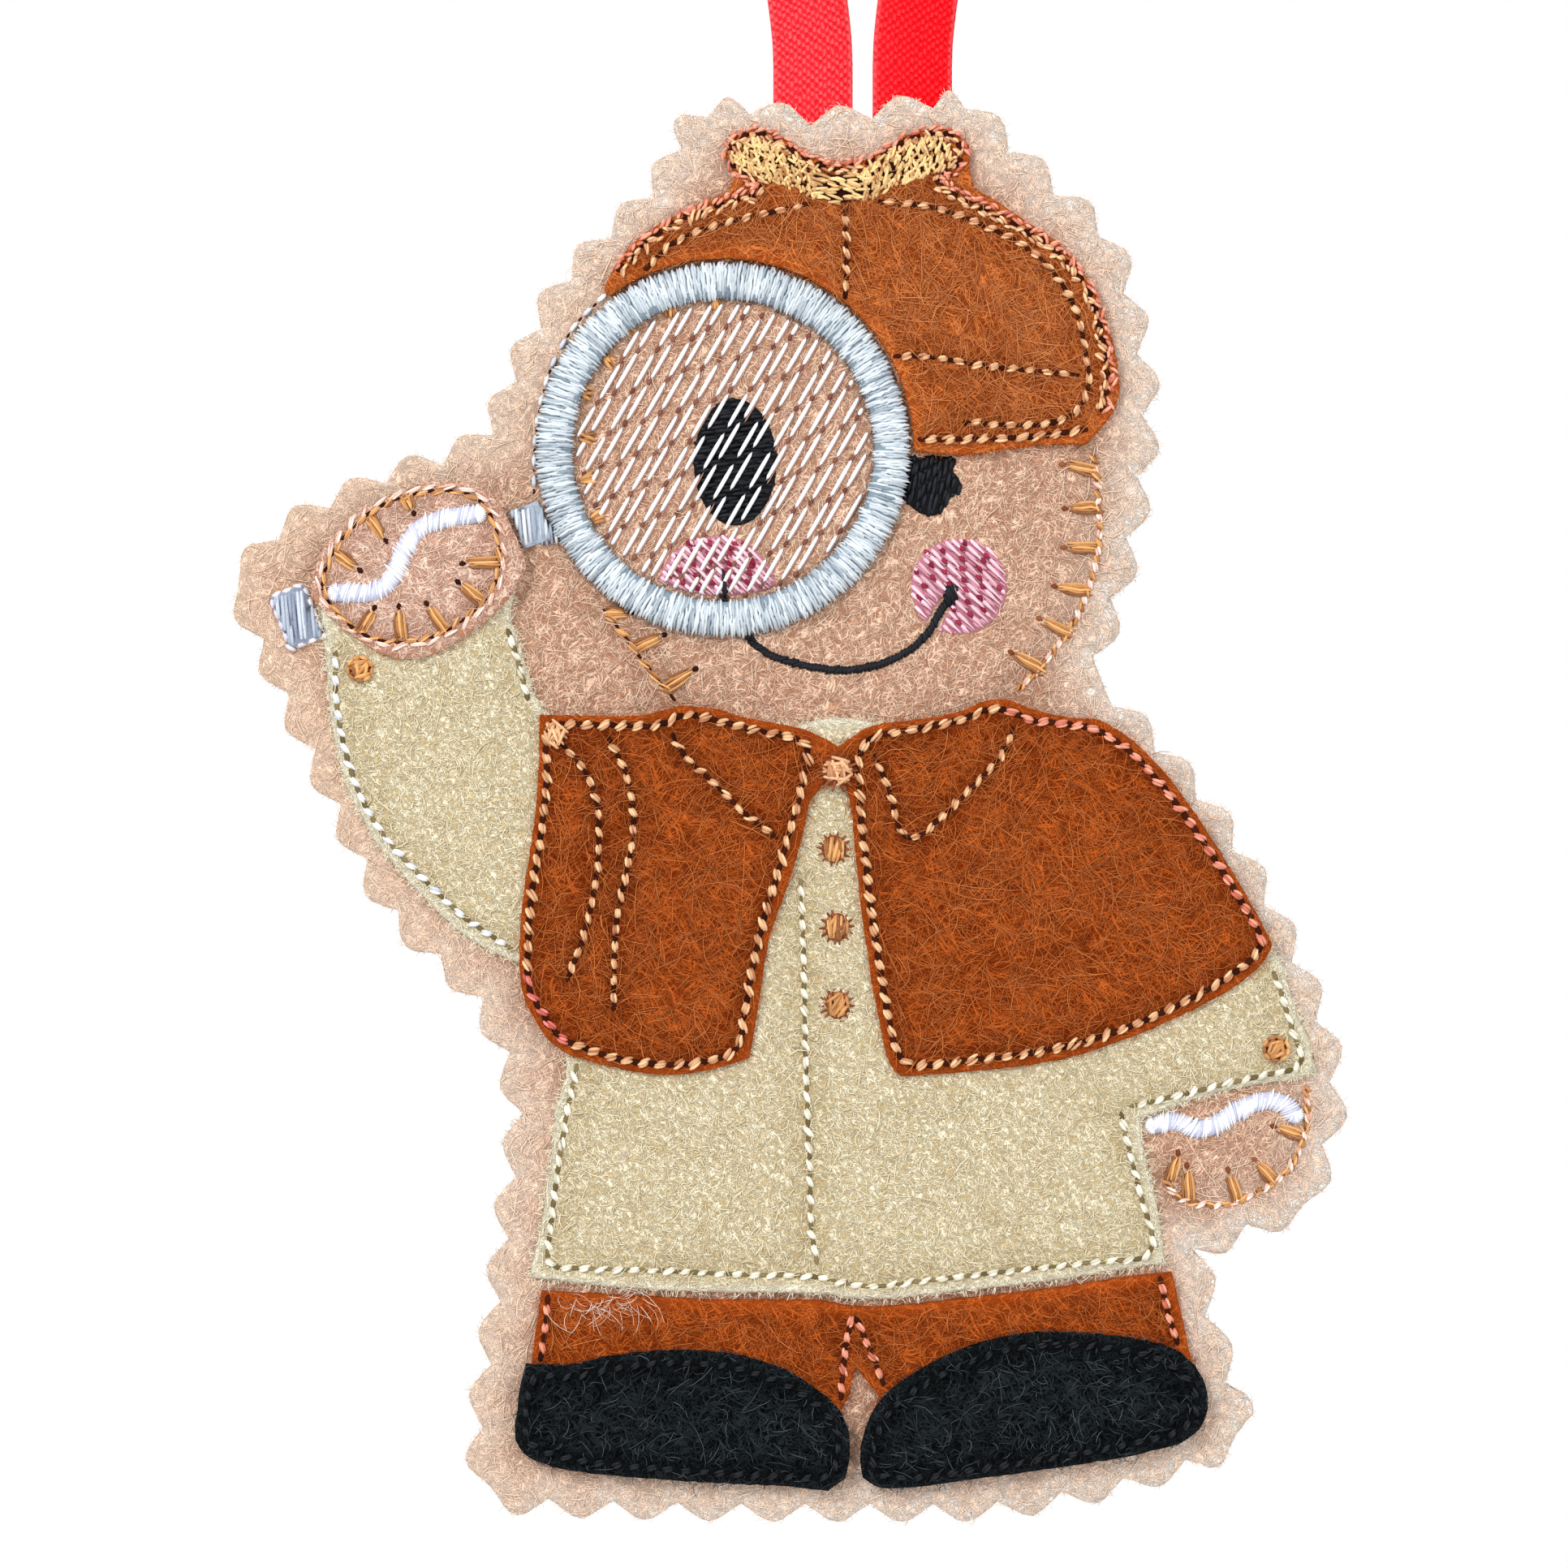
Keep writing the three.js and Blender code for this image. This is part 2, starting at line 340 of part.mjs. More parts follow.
    routeShares: [[0.577, 0.05], [0.582, 0.038], [0.61, 0.0345], [0.67, 0.0405], [0.74, 0.0485],
      [0.81, 0.0585], [0.852, 0.068], [0.865, 0.08], [0.861, 0.098], [0.841, 0.113], [0.8, 0.1225],
      [0.725, 0.1255], [0.675, 0.1175], [0.62, 0.097], [0.591, 0.079]] },
  { name: 'raised_hand_seam', layer: OVERLAY_TOP, thread: whiteThread, closed: true,
    routeShares: [[0.0865, 0.65], [0.0975, 0.6745], [0.12, 0.695], [0.15, 0.709], [0.19, 0.7155],
      [0.222, 0.711], [0.24, 0.6925], [0.2445, 0.667], [0.235, 0.643], [0.2, 0.62], [0.165, 0.611],
      [0.13, 0.614], [0.103, 0.628]],
    dashShares: [[[0.098, 0.673], [0.12, 0.6605]], [[0.128, 0.698], [0.143, 0.681]],
      [[0.16, 0.711], [0.168, 0.7]],
      [[0.245, 0.666], [0.212, 0.665]], [[0.23, 0.638], [0.208, 0.652]], [[0.197, 0.618], [0.18, 0.637]],
      [[0.157, 0.612], [0.155, 0.635]], [[0.12, 0.617], [0.133, 0.634]]] },
  { name: 'back_outline_seam', layer: -GROOVE_FLOOR, thread: whiteThread, closed: true,
    pitch: BACK_STITCH_PITCH,
    routeShares: [[0.352, 0.87], [0.41, 0.905], [0.46, 0.93], [0.459, 0.958], [0.49, 0.959], [0.545, 0.939],
      [0.605, 0.957], [0.648, 0.961], [0.655, 0.925], [0.73, 0.888], [0.774, 0.847], [0.787, 0.792],
      [0.774, 0.755], [0.7805, 0.68], [0.7558, 0.6224], [0.705, 0.569], [0.775, 0.5505], [0.84, 0.507],
      [0.89, 0.45], [0.945, 0.362], [0.967, 0.295], [0.95, 0.246], [0.9, 0.222], [0.84, 0.225], [0.836, 0.18],
      [0.855, 0.12], [0.865, 0.08], [0.81, 0.0585], [0.67, 0.0405], [0.562, 0.036], [0.4, 0.04],
      [0.276, 0.056], [0.276, 0.11], [0.288, 0.195], [0.304, 0.285], [0.283, 0.355], [0.24, 0.405],
      [0.175, 0.448], [0.12, 0.504], [0.098, 0.57], [0.0865, 0.64], [0.12, 0.695], [0.19, 0.7155],
      [0.262, 0.712], [0.285, 0.79], [0.32, 0.84]] },
];

// Where a pair of shares lies in the figure's own frame, whose corner is the figure's lower left
function inFigure([xShare, zShare]) {
  return new THREE.Vector3(xShare * FIGURE_WIDTH, 0, zShare * FIGURE_HEIGHT);
}

function smoothLine(shares, closed = false) {
  return new THREE.CatmullRomCurve3(shares.map(inFigure), closed, 'centripetal');
}

// Evenly spaced points along smooth stretches. Each stretch ends where the next one starts.
function outlinePoints(stretches) {
  if (stretches.length === 1) {
    const loop = smoothLine(stretches[0], true);
    return loop.getSpacedPoints(Math.ceil(loop.getLength() / OUTLINE_STEP)).slice(0, -1);
  }
  return stretches.flatMap((shares, index) => {
    const end = stretches[(index + 1) % stretches.length][0];
    const line = smoothLine([...shares, end]);
    return line.getSpacedPoints(Math.ceil(line.getLength() / OUTLINE_STEP)).slice(0, -1);
  });
}

// The zigzag that pinking shears leave: teeth stand out to the left of a clockwise cut line
function pinkedPoints() {
  return pinkedRuns.flatMap(({ teeth, lineShares }) => {
    if (teeth === 0) {
      return [inFigure(lineShares[0])];
    }
    const line = smoothLine(lineShares);
    const toothPoint = (share, depthShare) => {
      const along = line.getTangentAt(share);
      const outward = new THREE.Vector3(-along.z, 0, along.x);
      return line.getPointAt(share).addScaledVector(outward, depthShare * TOOTH_DEPTH);
    };
    return Array.from({ length: teeth }, (_, tooth) => [
      toothPoint(tooth / teeth, 0),
      toothPoint((tooth + shoulderShare) / teeth, shoulderDepthShare),
      toothPoint((tooth + 1 / 2) / teeth, 1),
      toothPoint((tooth + 1 - shoulderShare) / teeth, shoulderDepthShare),
    ]).flat();
  });
}

// A flat piece whose back lies on the plane y = 0 and whose front faces -Y
function plate(points, thickness) {
  const shape = new THREE.Shape(points.map((point) => new THREE.Vector2(point.x, point.z)));
  const geometry = new THREE.ExtrudeGeometry(shape, { depth: thickness, bevelEnabled: false });
  return geometry.rotateX(Math.PI / 2);
}

function middleOf(points) {
  const sum = points.reduce((total, point) => total.add(point), new THREE.Vector3());
  return sum.divideScalar(points.length);
}

// Joins rings of points into one body. Its ends are closed round their middles, unless the rings close on
// themselves. The far half of each ring is split the other way, so both faces of a twisted strip fold alike.
function bodyOfRings(rings, closed = false) {
  const count = rings[0].length;
  const points = rings.flat();
  const index = [];
  const spans = closed ? rings.length : rings.length - 1;
  for (let ring = 0; ring < spans; ring += 1) {
    const here = ring * count;
    const there = ((ring + 1) % rings.length) * count;
    for (let side = 0; side < count; side += 1) {
      const next = (side + 1) % count;
      const [a, b, c, d] = [here + side, there + side, there + next, here + next];
      if (side < count / 2) {
        index.push(a, b, c, a, c, d);
      } else {
        index.push(a, b, d, b, c, d);
      }
    }
  }
  if (!closed) {
    const last = (rings.length - 1) * count;
    const firstMiddle = points.push(middleOf(rings[0])) - 1;
    const lastMiddle = points.push(middleOf(rings.at(-1))) - 1;
    for (let side = 0; side < count; side += 1) {
      const next = (side + 1) % count;
      index.push(firstMiddle, side, next, lastMiddle, last + next, last + side);
    }
  }
  const positions = points.flatMap((point) => point.toArray());
  const geometry = new THREE.BufferGeometry();
  geometry.setAttribute('position', new THREE.BufferAttribute(new Float32Array(positions), 3));
  geometry.setIndex(index);
  return geometry;
}

// Welds a geometry into one closed surface with its faces pointing out
function welded(geometry) {
  geometry.deleteAttribute('normal');
  geometry.deleteAttribute('uv');
  const merged = mergeVertices(geometry);
  const { position } = merged.attributes;
  const index = merged.index.array;
  const [a, b, c] = [new THREE.Vector3(), new THREE.Vector3(), new THREE.Vector3()];
  let volume = 0;
  for (let corner = 0; corner < index.length; corner += 3) {
    a.fromBufferAttribute(position, index[corner]);
    b.fromBufferAttribute(position, index[corner + 1]);
    c.fromBufferAttribute(position, index[corner + 2]);
    volume += a.dot(b.cross(c));
  }
  if (volume < 0) {
    for (let corner = 0; corner < index.length; corner += 3) {
      [index[corner + 1], index[corner + 2]] = [index[corner + 2], index[corner + 1]];
    }
  }
  return merged;
}

function toSolid(geometry) {
  const surface = welded(geometry);
  return new wasm.Manifold(new wasm.Mesh({
    numProp: 3,
    vertProperties: new Float32Array(surface.attributes.position.array),
    triVerts: new Uint32Array(surface.index.array),
  }));
}

function toGeometry(solid) {
  const { vertProperties, triVerts } = solid.getMesh();
  const geometry = new THREE.BufferGeometry();
  geometry.setAttribute('position', new THREE.BufferAttribute(vertProperties, 3));
  geometry.setIndex(new THREE.BufferAttribute(triVerts, 1));
  return geometry;
}

function joined(geometries) {
  return toGeometry(geometries.map(toSolid).reduce((whole, piece) => whole.add(piece)));
}

function without(geometry, cutters) {
  return toGeometry(cutters.map(toSolid).reduce((rest, cutter) => rest.subtract(cutter), toSolid(geometry)));
}

// A piece of one layer, seated on the plane that lies `layer` in front of the stack's middle
function piece(name, geometry, material, layer) {
  const mesh = new THREE.Mesh(welded(geometry), material);
  mesh.name = name;
  mesh.position.y = -layer;
  return mesh;
}

// A round cutting body along the view direction, longer than any layer is thick
function roundCutter(centreShare, radius) {
  const reach = OVERLAY_TOP + OVERRUN;
  const centre = inFigure(centreShare);
  return new THREE.CylinderGeometry(radius, radius, reach * 2, RIM_SEGMENTS).translate(centre.x, 0, centre.z);
}

// A run of stitches: thick at each stitch's crest and thin at each needle hole
function stitchRun(shares, { pitch = STITCH_PITCH, width = STITCH_WIDTH, closed, back, single }) {
  const line = smoothLine(shares, closed);
  const halfStitches = (single ? 1 : Math.round(line.getLength() / pitch)) * 2;
  const count = closed ? halfStitches : halfStitches + 1;
  const towards = back ? 1 : -1;
  const rings = Array.from({ length: count }, (_, ring) => {
    const size = ring % 2 === 0 ? holeShare : 1;
    const share = ring / halfStitches;
    const along = line.getTangentAt(share);
    const aside = new THREE.Vector3(-along.z, 0, along.x).multiplyScalar((size * width) / 2);
    const middle = line.getPointAt(share);
    const crest = middle.clone();
    crest.y = towards * size * STITCH_CREST;
    return [middle.clone().add(aside), crest, middle.clone().sub(aside)];
  });
  return bodyOfRings(rings, closed);
}

// The groove that a closed seam presses into the back felt, so that the felt itself is what lies on a wall
function seamGroove({ routeShares, pitch }) {
  const line = smoothLine(routeShares, true);
  const steps = Math.round(line.getLength() / pitch) * 2;
  const rings = Array.from({ length: steps }, (_, step) => {
    const along = line.getTangentAt(step / steps);
    const aside = new THREE.Vector3(-along.z, 0, along.x).multiplyScalar(STITCH_WIDTH / 2 + CLEARANCE);
    const floor = line.getPointAt(step / steps).setY(GROOVE_FLOOR);
    const mouth = floor.clone().setY(FRONT_FELT_TOP + OVERRUN);
    return [mouth.clone().add(aside), floor.clone().add(aside), floor.sub(aside), mouth.sub(aside)];
  });
  return bodyOfRings(rings, true);
}

function seamWithDashes({ routeShares, dashShares = [], closed, pitch, layer }) {
  const run = stitchRun(routeShares, { closed, pitch, back: layer < 0 });
  if (dashShares.length === 0) {
    return run;
  }
  const dashes = dashShares.map((ends) => stitchRun(ends, { single: true, width: DASH_WIDTH }));
  return joined([run, ...dashes]);
}

// The rounded front of a satin band or rim: pairs of a place across it, from 1 to -1, and a height up to 1
function roundedFront() {
  return Array.from({ length: ARC_POINTS }, (_, corner) => {
    const turn = (Math.PI * corner) / (ARC_POINTS - 1);
    return [Math.cos(turn), Math.sin(turn)];
  });
}

// A satin band: a low rounded ridge along a line, drawn in at its ends
function satinBand(shares, width, crest) {
  const line = smoothLine(shares);
  const steps = Math.ceil(line.getLength() / BAND_STEP);
  const rings = Array.from({ length: steps + 1 }, (_, step) => {
    const share = step / steps;
    const size = step === 0 || step === steps ? bandEndShare : 1;
    const along = line.getTangentAt(share);
    const aside = new THREE.Vector3(-along.z, 0, along.x);
    return roundedFront().map(([across, rise]) => {
      const point = line.getPointAt(share).addScaledVector(aside, (size * across * width) / 2);
      point.y = -size * rise * crest;
      return point;
    });
  });
  return bodyOfRings(rings);
}

// A satin patch: a low dome on an ellipse, with rays round its rim where it is a button
function satinPatch(centreShare, [halfWidth, halfHeight], height, { sides = PATCH_SIDES, rays } = {}) {
  const centre = inFigure(centreShare);
  const rings = domeShares.map(([reach, rise]) => Array.from({ length: sides }, (_, side) => {
    const turn = (2 * Math.PI * side) / sides;
    const spread = rays && side % 2 === 1 ? reach * rayShare : reach;
    const point = centre.clone();
    point.x += spread * halfWidth * Math.cos(turn);
    point.z += spread * halfHeight * Math.sin(turn);
    point.y = -rise * height;
    return point;
  }));
  return bodyOfRings(rings);
}

function button(name, centreShare, radius, layer) {
  const star = { sides: BUTTON_RAYS * 2, rays: true };
  const geometry = satinPatch(centreShare, [radius, radius], BUTTON_HEIGHT, star);
  return piece(name, geometry, goldThread, layer);
}

// The back felt's plate is moved to its layer before the groove is cut, because the groove is placed there
function baseFelts() {
  const outline = pinkedPoints();
  const front = piece('front_felt', plate(outline, BASE_FELT), tanFelt, FRONT_FELT_BACK);
  const backSeam = seams.find(({ name }) => name === 'back_outline_seam');
  const backPlate = plate(outline, BASE_FELT).translate(0, FRONT_FELT_TOP, 0);
  const back = piece('back_felt', without(backPlate, [seamGroove(backSeam)]), tanFelt, 0);
  return [front, back];
}

const legCentres = { left: -RIBBON_SPACING / 2, right: RIBBON_SPACING / 2 };
const hangX = hangShare * FIGURE_WIDTH;

// The ribbon's two tails, trapped side by side between the felts
function ribbonTail(side) {
  const top = FIGURE_HEIGHT + FOLD_RISE - FOLD_GAP;
  const bottom = FIGURE_HEIGHT - RIBBON_TAIL;
  const geometry = new THREE.BoxGeometry(RIBBON_WIDTH, RIBBON_THICKNESS, top - bottom);
  geometry.translate(hangX + legCentres[side], 0, (top + bottom) / 2);
  return piece(`ribbon_tail_${side}`, geometry, redRibbon, 0);
}

// The sheet between the felts. It leaves room for the ribbon's tails.
function stabiliserSheet() {
  const sheet = plate(stabiliserShares.map(inFigure), STABILISER);
  const room = new THREE.BoxGeometry(
    RIBBON_SPACING + RIBBON_WIDTH + CLEARANCE * 2,
    INNER_GAP + OVERRUN * 2,
    FIGURE_HEIGHT,
  );
  room.translate(hangX, 0, FIGURE_HEIGHT - RIBBON_TAIL - CLEARANCE + FIGURE_HEIGHT / 2);
  return piece('stabiliser_sheet', without(sheet, [room]), paleSheet, -STABILISER / 2);
}

const handleStart = inFigure(rimCentreShare);
const handleWay = inFigure(handleEndShare).sub(handleStart);

// A flat block across the magnifying glass's handle, with its middle `distance` from the rim's centre
function handleBlock(distance, length, width, height) {
  const middle = handleStart.clone().addScaledVector(handleWay.clone().normalize(), distance);
  const block = new THREE.BoxGeometry(length, height, width);
  block.rotateY(-Math.atan2(handleWay.z, handleWay.x));
  return block.translate(middle.x, -height / 2, middle.z);
}

const FERRULE_DISTANCE = RIM_RADIUS + CLEARANCE + FERRULE_LENGTH / 2;
const HANDLE_CAP_DISTANCE = handleWay.length();

function magnifierHandle() {
  const ferrule = handleBlock(FERRULE_DISTANCE, FERRULE_LENGTH, HANDLE_WIDTH, HANDLE_HEIGHT);
  const cap = handleBlock(HANDLE_CAP_DISTANCE, HANDLE_CAP_LENGTH, HANDLE_CAP_WIDTH, HANDLE_HEIGHT);
  return [
    piece('magnifier_ferrule', ferrule, iceThread, FRONT_FELT_TOP),
    piece('magnifier_handle_cap', cap, iceThread, FRONT_FELT_TOP),
  ];
}

// The rooms that the coat leaves for the ferrule and the handle cap
function handleRooms() {
  const reach = GARMENT_FELT + OVERRUN * 2;
  const room = (distance, length, width) => (
    handleBlock(distance, length + CLEARANCE * 2, width + CLEARANCE * 2, reach).translate(0, OVERRUN, 0)
  );
  return [
    room(FERRULE_DISTANCE, FERRULE_LENGTH, HANDLE_WIDTH),
    room(HANDLE_CAP_DISTANCE, HANDLE_CAP_LENGTH, HANDLE_CAP_WIDTH),
  ];
}

// The satin rim: a ring with a full rounded front
function magnifierRim() {
  const middle = (RIM_RADIUS + LENS_RADIUS) / 2;
  const halfWidth = (RIM_RADIUS - LENS_RADIUS) / 2;
  const arc = roundedFront().map(([across, rise]) => (
    new THREE.Vector2(middle - halfWidth * across, -RIM_HEIGHT * Math.sqrt(rise))
  ));
  const ring = new THREE.LatheGeometry([...arc, arc[0]], RIM_SEGMENTS);
  return piece('magnifier_rim', ring.translate(handleStart.x, 0, handleStart.z), iceThread, FRONT_FELT_TOP);
}

// The white hatch for the glass: slanted lines of thread, held by a thin ring inside the rim
function lensHatch() {
  const reach = LENS_RADIUS - CLEARANCE;
  const lines = [];
  for (let offset = -reach + HATCH_SPACING; offset < reach - HATCH_WIDTH; offset += HATCH_SPACING) {
    const length = 2 * Math.sqrt(reach ** 2 - offset ** 2) - HATCH_WIDTH;
    lines.push(new THREE.BoxGeometry(length, HATCH_HEIGHT, HATCH_WIDTH).translate(0, 0, offset));
  }
  const profile = [[reach - HATCH_WIDTH, 1], [reach, 1], [reach, -1], [reach - HATCH_WIDTH, -1]]
    .map(([radius, side]) => new THREE.Vector2(radius, (side * HATCH_HEIGHT) / 2));
  const ring = new THREE.LatheGeometry([...profile, profile[0]], RIM_SEGMENTS);
  const net = joined([ring, ...lines]).rotateY(-HATCH_ANGLE);
  net.translate(handleStart.x, -HATCH_HEIGHT / 2, handleStart.z);
  return piece('lens_hatch', net, whiteThread, FRONT_FELT_TOP + PATCH_HEIGHT);
}

function hat() {
  const felt = plate(outlinePoints(hatOutlineShares), GARMENT_FELT);
  const cut = without(felt, [roundCutter(rimCentreShare, RIM_RADIUS + CLEARANCE)]);
  return [
    piece('hat_felt', cut, rustFelt, FRONT_FELT_TOP),
    piece('hat_bow', plate(outlinePoints(bowOutlineShares), BOW_HEIGHT), goldThread, GARMENT_TOP),
  ];
}

function garments() {
  const coat = without(plate(outlinePoints(coatOutlineShares), GARMENT_FELT), handleRooms());
  const garment = (name, shares, material, layer) => (
    piece(name, plate(outlinePoints(shares), GARMENT_FELT), material, layer)
  );
  return [
    piece('coat_felt', coat, creamFelt, FRONT_FELT_TOP),
    garment('trousers_felt', trousersOutlineShares, rustFelt, FRONT_FELT_TOP),
    garment('cape_felt', capeOutlineShares, rustFelt, GARMENT_TOP),
    garment('left_shoe_felt', leftShoeOutlineShares, blackFelt, GARMENT_TOP),
    garment('right_shoe_felt', rightShoeOutlineShares, blackFelt, GARMENT_TOP),
    garment('raised_hand_felt', raisedHandOutlineShares, handFelt, GARMENT_TOP),
  ];
}

function face() {
  const smile = satinBand(smileShares, SMILE_WIDTH, STITCH_CREST);
  const smileRoom = satinBand(smileShares, SMILE_WIDTH + SMILE_ROOM * 2, OVERRUN);
  smileRoom.translate(0, OVERRUN / 2, 0);
  const hatRoom = new THREE.BoxGeometry(FIGURE_WIDTH, FIGURE_HEIGHT, FIGURE_HEIGHT);
  hatRoom.translate(FIGURE_WIDTH / 2, 0, openEyeTopShare * FIGURE_HEIGHT + FIGURE_HEIGHT / 2);
  const openEye = without(satinPatch(openEyeShare, OPEN_EYE, PATCH_HEIGHT), [
    roundCutter(rimCentreShare, RIM_RADIUS + CLEARANCE),
    hatRoom,
  ]);
  const magnifiedEye = satinPatch(magnifiedEyeShare, MAGNIFIED_EYE, PATCH_HEIGHT);
  const roundCheek = (centreShare, radius) => satinPatch(centreShare, [radius, radius], PATCH_HEIGHT);
  const cheek = without(roundCheek(cheekShare, CHEEK_RADIUS), [smileRoom]);
  const behindGlass = toSolid(roundCutter(rimCentreShare, LENS_RADIUS - CLEARANCE));
  const wholeCheek = toSolid(roundCheek(magnifiedCheekShare, MAGNIFIED_CHEEK_RADIUS));
  return [
    piece('magnified_eye', magnifiedEye, blackThread, FRONT_FELT_TOP),
    piece('open_eye', openEye, blackThread, FRONT_FELT_TOP),
    piece('cheek', cheek, pinkThread, FRONT_FELT_TOP),
    piece('magnified_cheek', toGeometry(wholeCheek.intersect(behindGlass)), pinkThread, FRONT_FELT_TOP),
    piece('smile', smile, blackThread, FRONT_FELT_TOP),
  ];
}

function buttons() {
  const coat = Object.entries(coatButtonShares).map(([name, share]) => (
    button(name, share, COAT_BUTTON_RADIUS, GARMENT_TOP)
  ));
  const cuffs = Object.entries(cuffButtonShares).map(([name, share]) => (
    button(name, share, CUFF_BUTTON_RADIUS, GARMENT_TOP)
  ));
  return [...coat, ...cuffs, button('neck_button', neckButtonShare, NECK_BUTTON_RADIUS, OVERLAY_TOP)];
}

function icing() {
  const wave = (name, shares, layer) => (
    piece(name, satinBand(shares, ICING_WIDTH, ICING_CREST), whiteThread, layer)
  );
  return [
    wave('raised_hand_icing', raisedIcingShares, OVERLAY_TOP),
    wave('lowered_hand_icing', loweredIcingShares, FRONT_FELT_TOP),
  ];
}

// The hanging loop: a flat ribbon that lies flat against the viewer at its lower ends and turns edge on
// over its top. It turns the same way all along, so the right leg shows the face that the left leg hides.
function ribbonLoop() {
  const mirrored = loopRoute.slice(1).reverse().map(([x, z]) => [-x, z]);
  const points = [...mirrored, ...loopRoute].map(([x, z]) => new THREE.Vector3(x, 0, z));
  const line = new THREE.CatmullRomCurve3(points, false, 'centripetal');
  const rings = Array.from({ length: RIBBON_STEPS + 1 }, (_, step) => {
    const share = step / RIBBON_STEPS;
    const fromTop = share * 2 - 1;
    const turnShare = Math.sign(fromTop) * THREE.MathUtils.smoothstep(Math.abs(fromTop), flatTopShare, 1);
    const turn = (turnShare * Math.PI) / 2;
    const along = line.getTangentAt(share);
    const outward = new THREE.Vector3(-along.z, 0, along.x);
    const face = outward.clone().multiplyScalar(Math.cos(turn)).add(new THREE.Vector3(0, Math.sin(turn), 0));
    const across = along.clone().cross(face);
    const corners = [[1, 1], [-1, 1], [-1, -1], [1, -1]];
    return corners.map(([side, front]) => line.getPointAt(share)
      .addScaledVector(across, (side * RIBBON_WIDTH) / 2)
      .addScaledVector(face, (front * RIBBON_THICKNESS) / 2));
  });
  return piece('ribbon_loop', bodyOfRings(rings), redRibbon, 0);
}

function allSeams() {
  return seams.map((seam) => piece(seam.name, seamWithDashes(seam), seam.thread, seam.layer));
}

const figure = new THREE.Group();
figure.position.set(-hangX, 0, FIGURE_BOTTOM);
figure.add(
  ...baseFelts(),
  stabiliserSheet(),
  ribbonTail('left'),
  ribbonTail('right'),
  ...garments(),
  ...hat(),
  magnifierRim(),
  ...magnifierHandle(),
  lensHatch(),
  ...face(),
  ...buttons(),
  ...icing(),
  ...allSeams(),
);

const ornament = new THREE.Group();
ornament.add(figure, ribbonLoop());

export default ornament;
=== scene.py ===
"""A hanging felt ornament: a gingerbread doll of stitched felt layers with a satin-stitched magnifying glass.

Shapes are worked out in millimetres in the frame's own axes (+X right, +Z up, the front faces -Y) and become
metres when a mesh is made. Positions on the figure are shares of its width and height.
"""
import math

import bpy
import numpy as np
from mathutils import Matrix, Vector
from mathutils.geometry import delaunay_2d_cdt


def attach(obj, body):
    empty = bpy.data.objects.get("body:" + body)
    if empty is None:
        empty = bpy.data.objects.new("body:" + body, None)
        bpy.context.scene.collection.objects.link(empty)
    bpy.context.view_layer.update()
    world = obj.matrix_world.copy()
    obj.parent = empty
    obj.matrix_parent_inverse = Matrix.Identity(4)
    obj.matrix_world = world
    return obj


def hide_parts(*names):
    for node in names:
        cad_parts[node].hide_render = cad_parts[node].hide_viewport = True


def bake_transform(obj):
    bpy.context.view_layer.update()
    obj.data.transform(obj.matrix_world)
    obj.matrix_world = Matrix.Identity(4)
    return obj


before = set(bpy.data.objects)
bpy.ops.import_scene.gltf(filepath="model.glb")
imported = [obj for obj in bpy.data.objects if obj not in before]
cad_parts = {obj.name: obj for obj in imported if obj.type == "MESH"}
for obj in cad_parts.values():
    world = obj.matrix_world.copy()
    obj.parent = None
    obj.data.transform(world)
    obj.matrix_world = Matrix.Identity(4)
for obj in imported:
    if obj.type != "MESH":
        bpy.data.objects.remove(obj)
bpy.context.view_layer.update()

rng = np.random.default_rng(12)

MM = 0.001
FIGURE_WIDTH = 89.0
FIGURE_HEIGHT = 115.0
FIGURE_BOTTOM = -182.5
HANG_SHARE = 0.5687
FRONT = -1.0
BACK = 1.0

# The layers, as distances from the middle of the stack to their outer faces
BASE_BACK = 0.15
BASE_TOP = 1.35
GARMENT_TOP = 2.35
OVERLAY_TOP = 3.35

RIM_CENTRE_SHARE = (0.4433, 0.7445)
RIM_RADIUS = 14.9
LENS_RADIUS = 11.9


# Points and lines in the plane of the felts, as (x, z)

def in_frame(share):
    """A place on the figure, given as shares, as (x, z) in millimetres."""
    x_share, z_share = share
    return np.array([(x_share - HANG_SHARE) * FIGURE_WIDTH, FIGURE_BOTTOM + z_share * FIGURE_HEIGHT])


def all_in_frame(shares):
    return [in_frame(share) for share in shares]


def unit(vectors):
    return vectors / np.maximum(np.linalg.norm(vectors, axis=-1, keepdims=True), 1e-9)


def left_of(along):
    """The directions to the left of these, seen from the front."""
    return np.stack([-along[..., 1], along[..., 0]], axis=-1)


def way_at(angle):
    return np.array([math.cos(angle), math.sin(angle)])


def ways_at(angles):
    return np.stack([np.cos(angles), np.sin(angles)], axis=-1)


def curved(a, b, c, d, t):
    """The points at shares t of the way from b to c on a Catmull-Rom line through a, b, c and d."""
    return 0.5 * (2 * b + (c - a) * t + (2 * a - 5 * b + 4 * c - d) * t ** 2
                  + (3 * b - a - 3 * c + d) * t ** 3)


def smooth_line(points, steps, closed=False):
    """A smooth line through points, with that many steps between each two."""
    points = np.asarray(points, float)
    if closed:
        ring = np.vstack([points[-1:], points, points[:2]])
    else:
        ring = np.vstack([2 * points[:1] - points[1:2], points, 2 * points[-1:] - points[-2:-1]])
    t = np.linspace(0, 1, steps, endpoint=False)[:, None]
    spans = [curved(a, b, c, d, t) for a, b, c, d in zip(ring, ring[1:], ring[2:], ring[3:])]
    if not closed:
        spans.append(points[-1:])
    return np.vstack(spans)


def lengths_along(line):
    """How far along a line each of its points is."""
    return np.concatenate([[0], np.cumsum(np.linalg.norm(np.diff(line, axis=0), axis=1))])


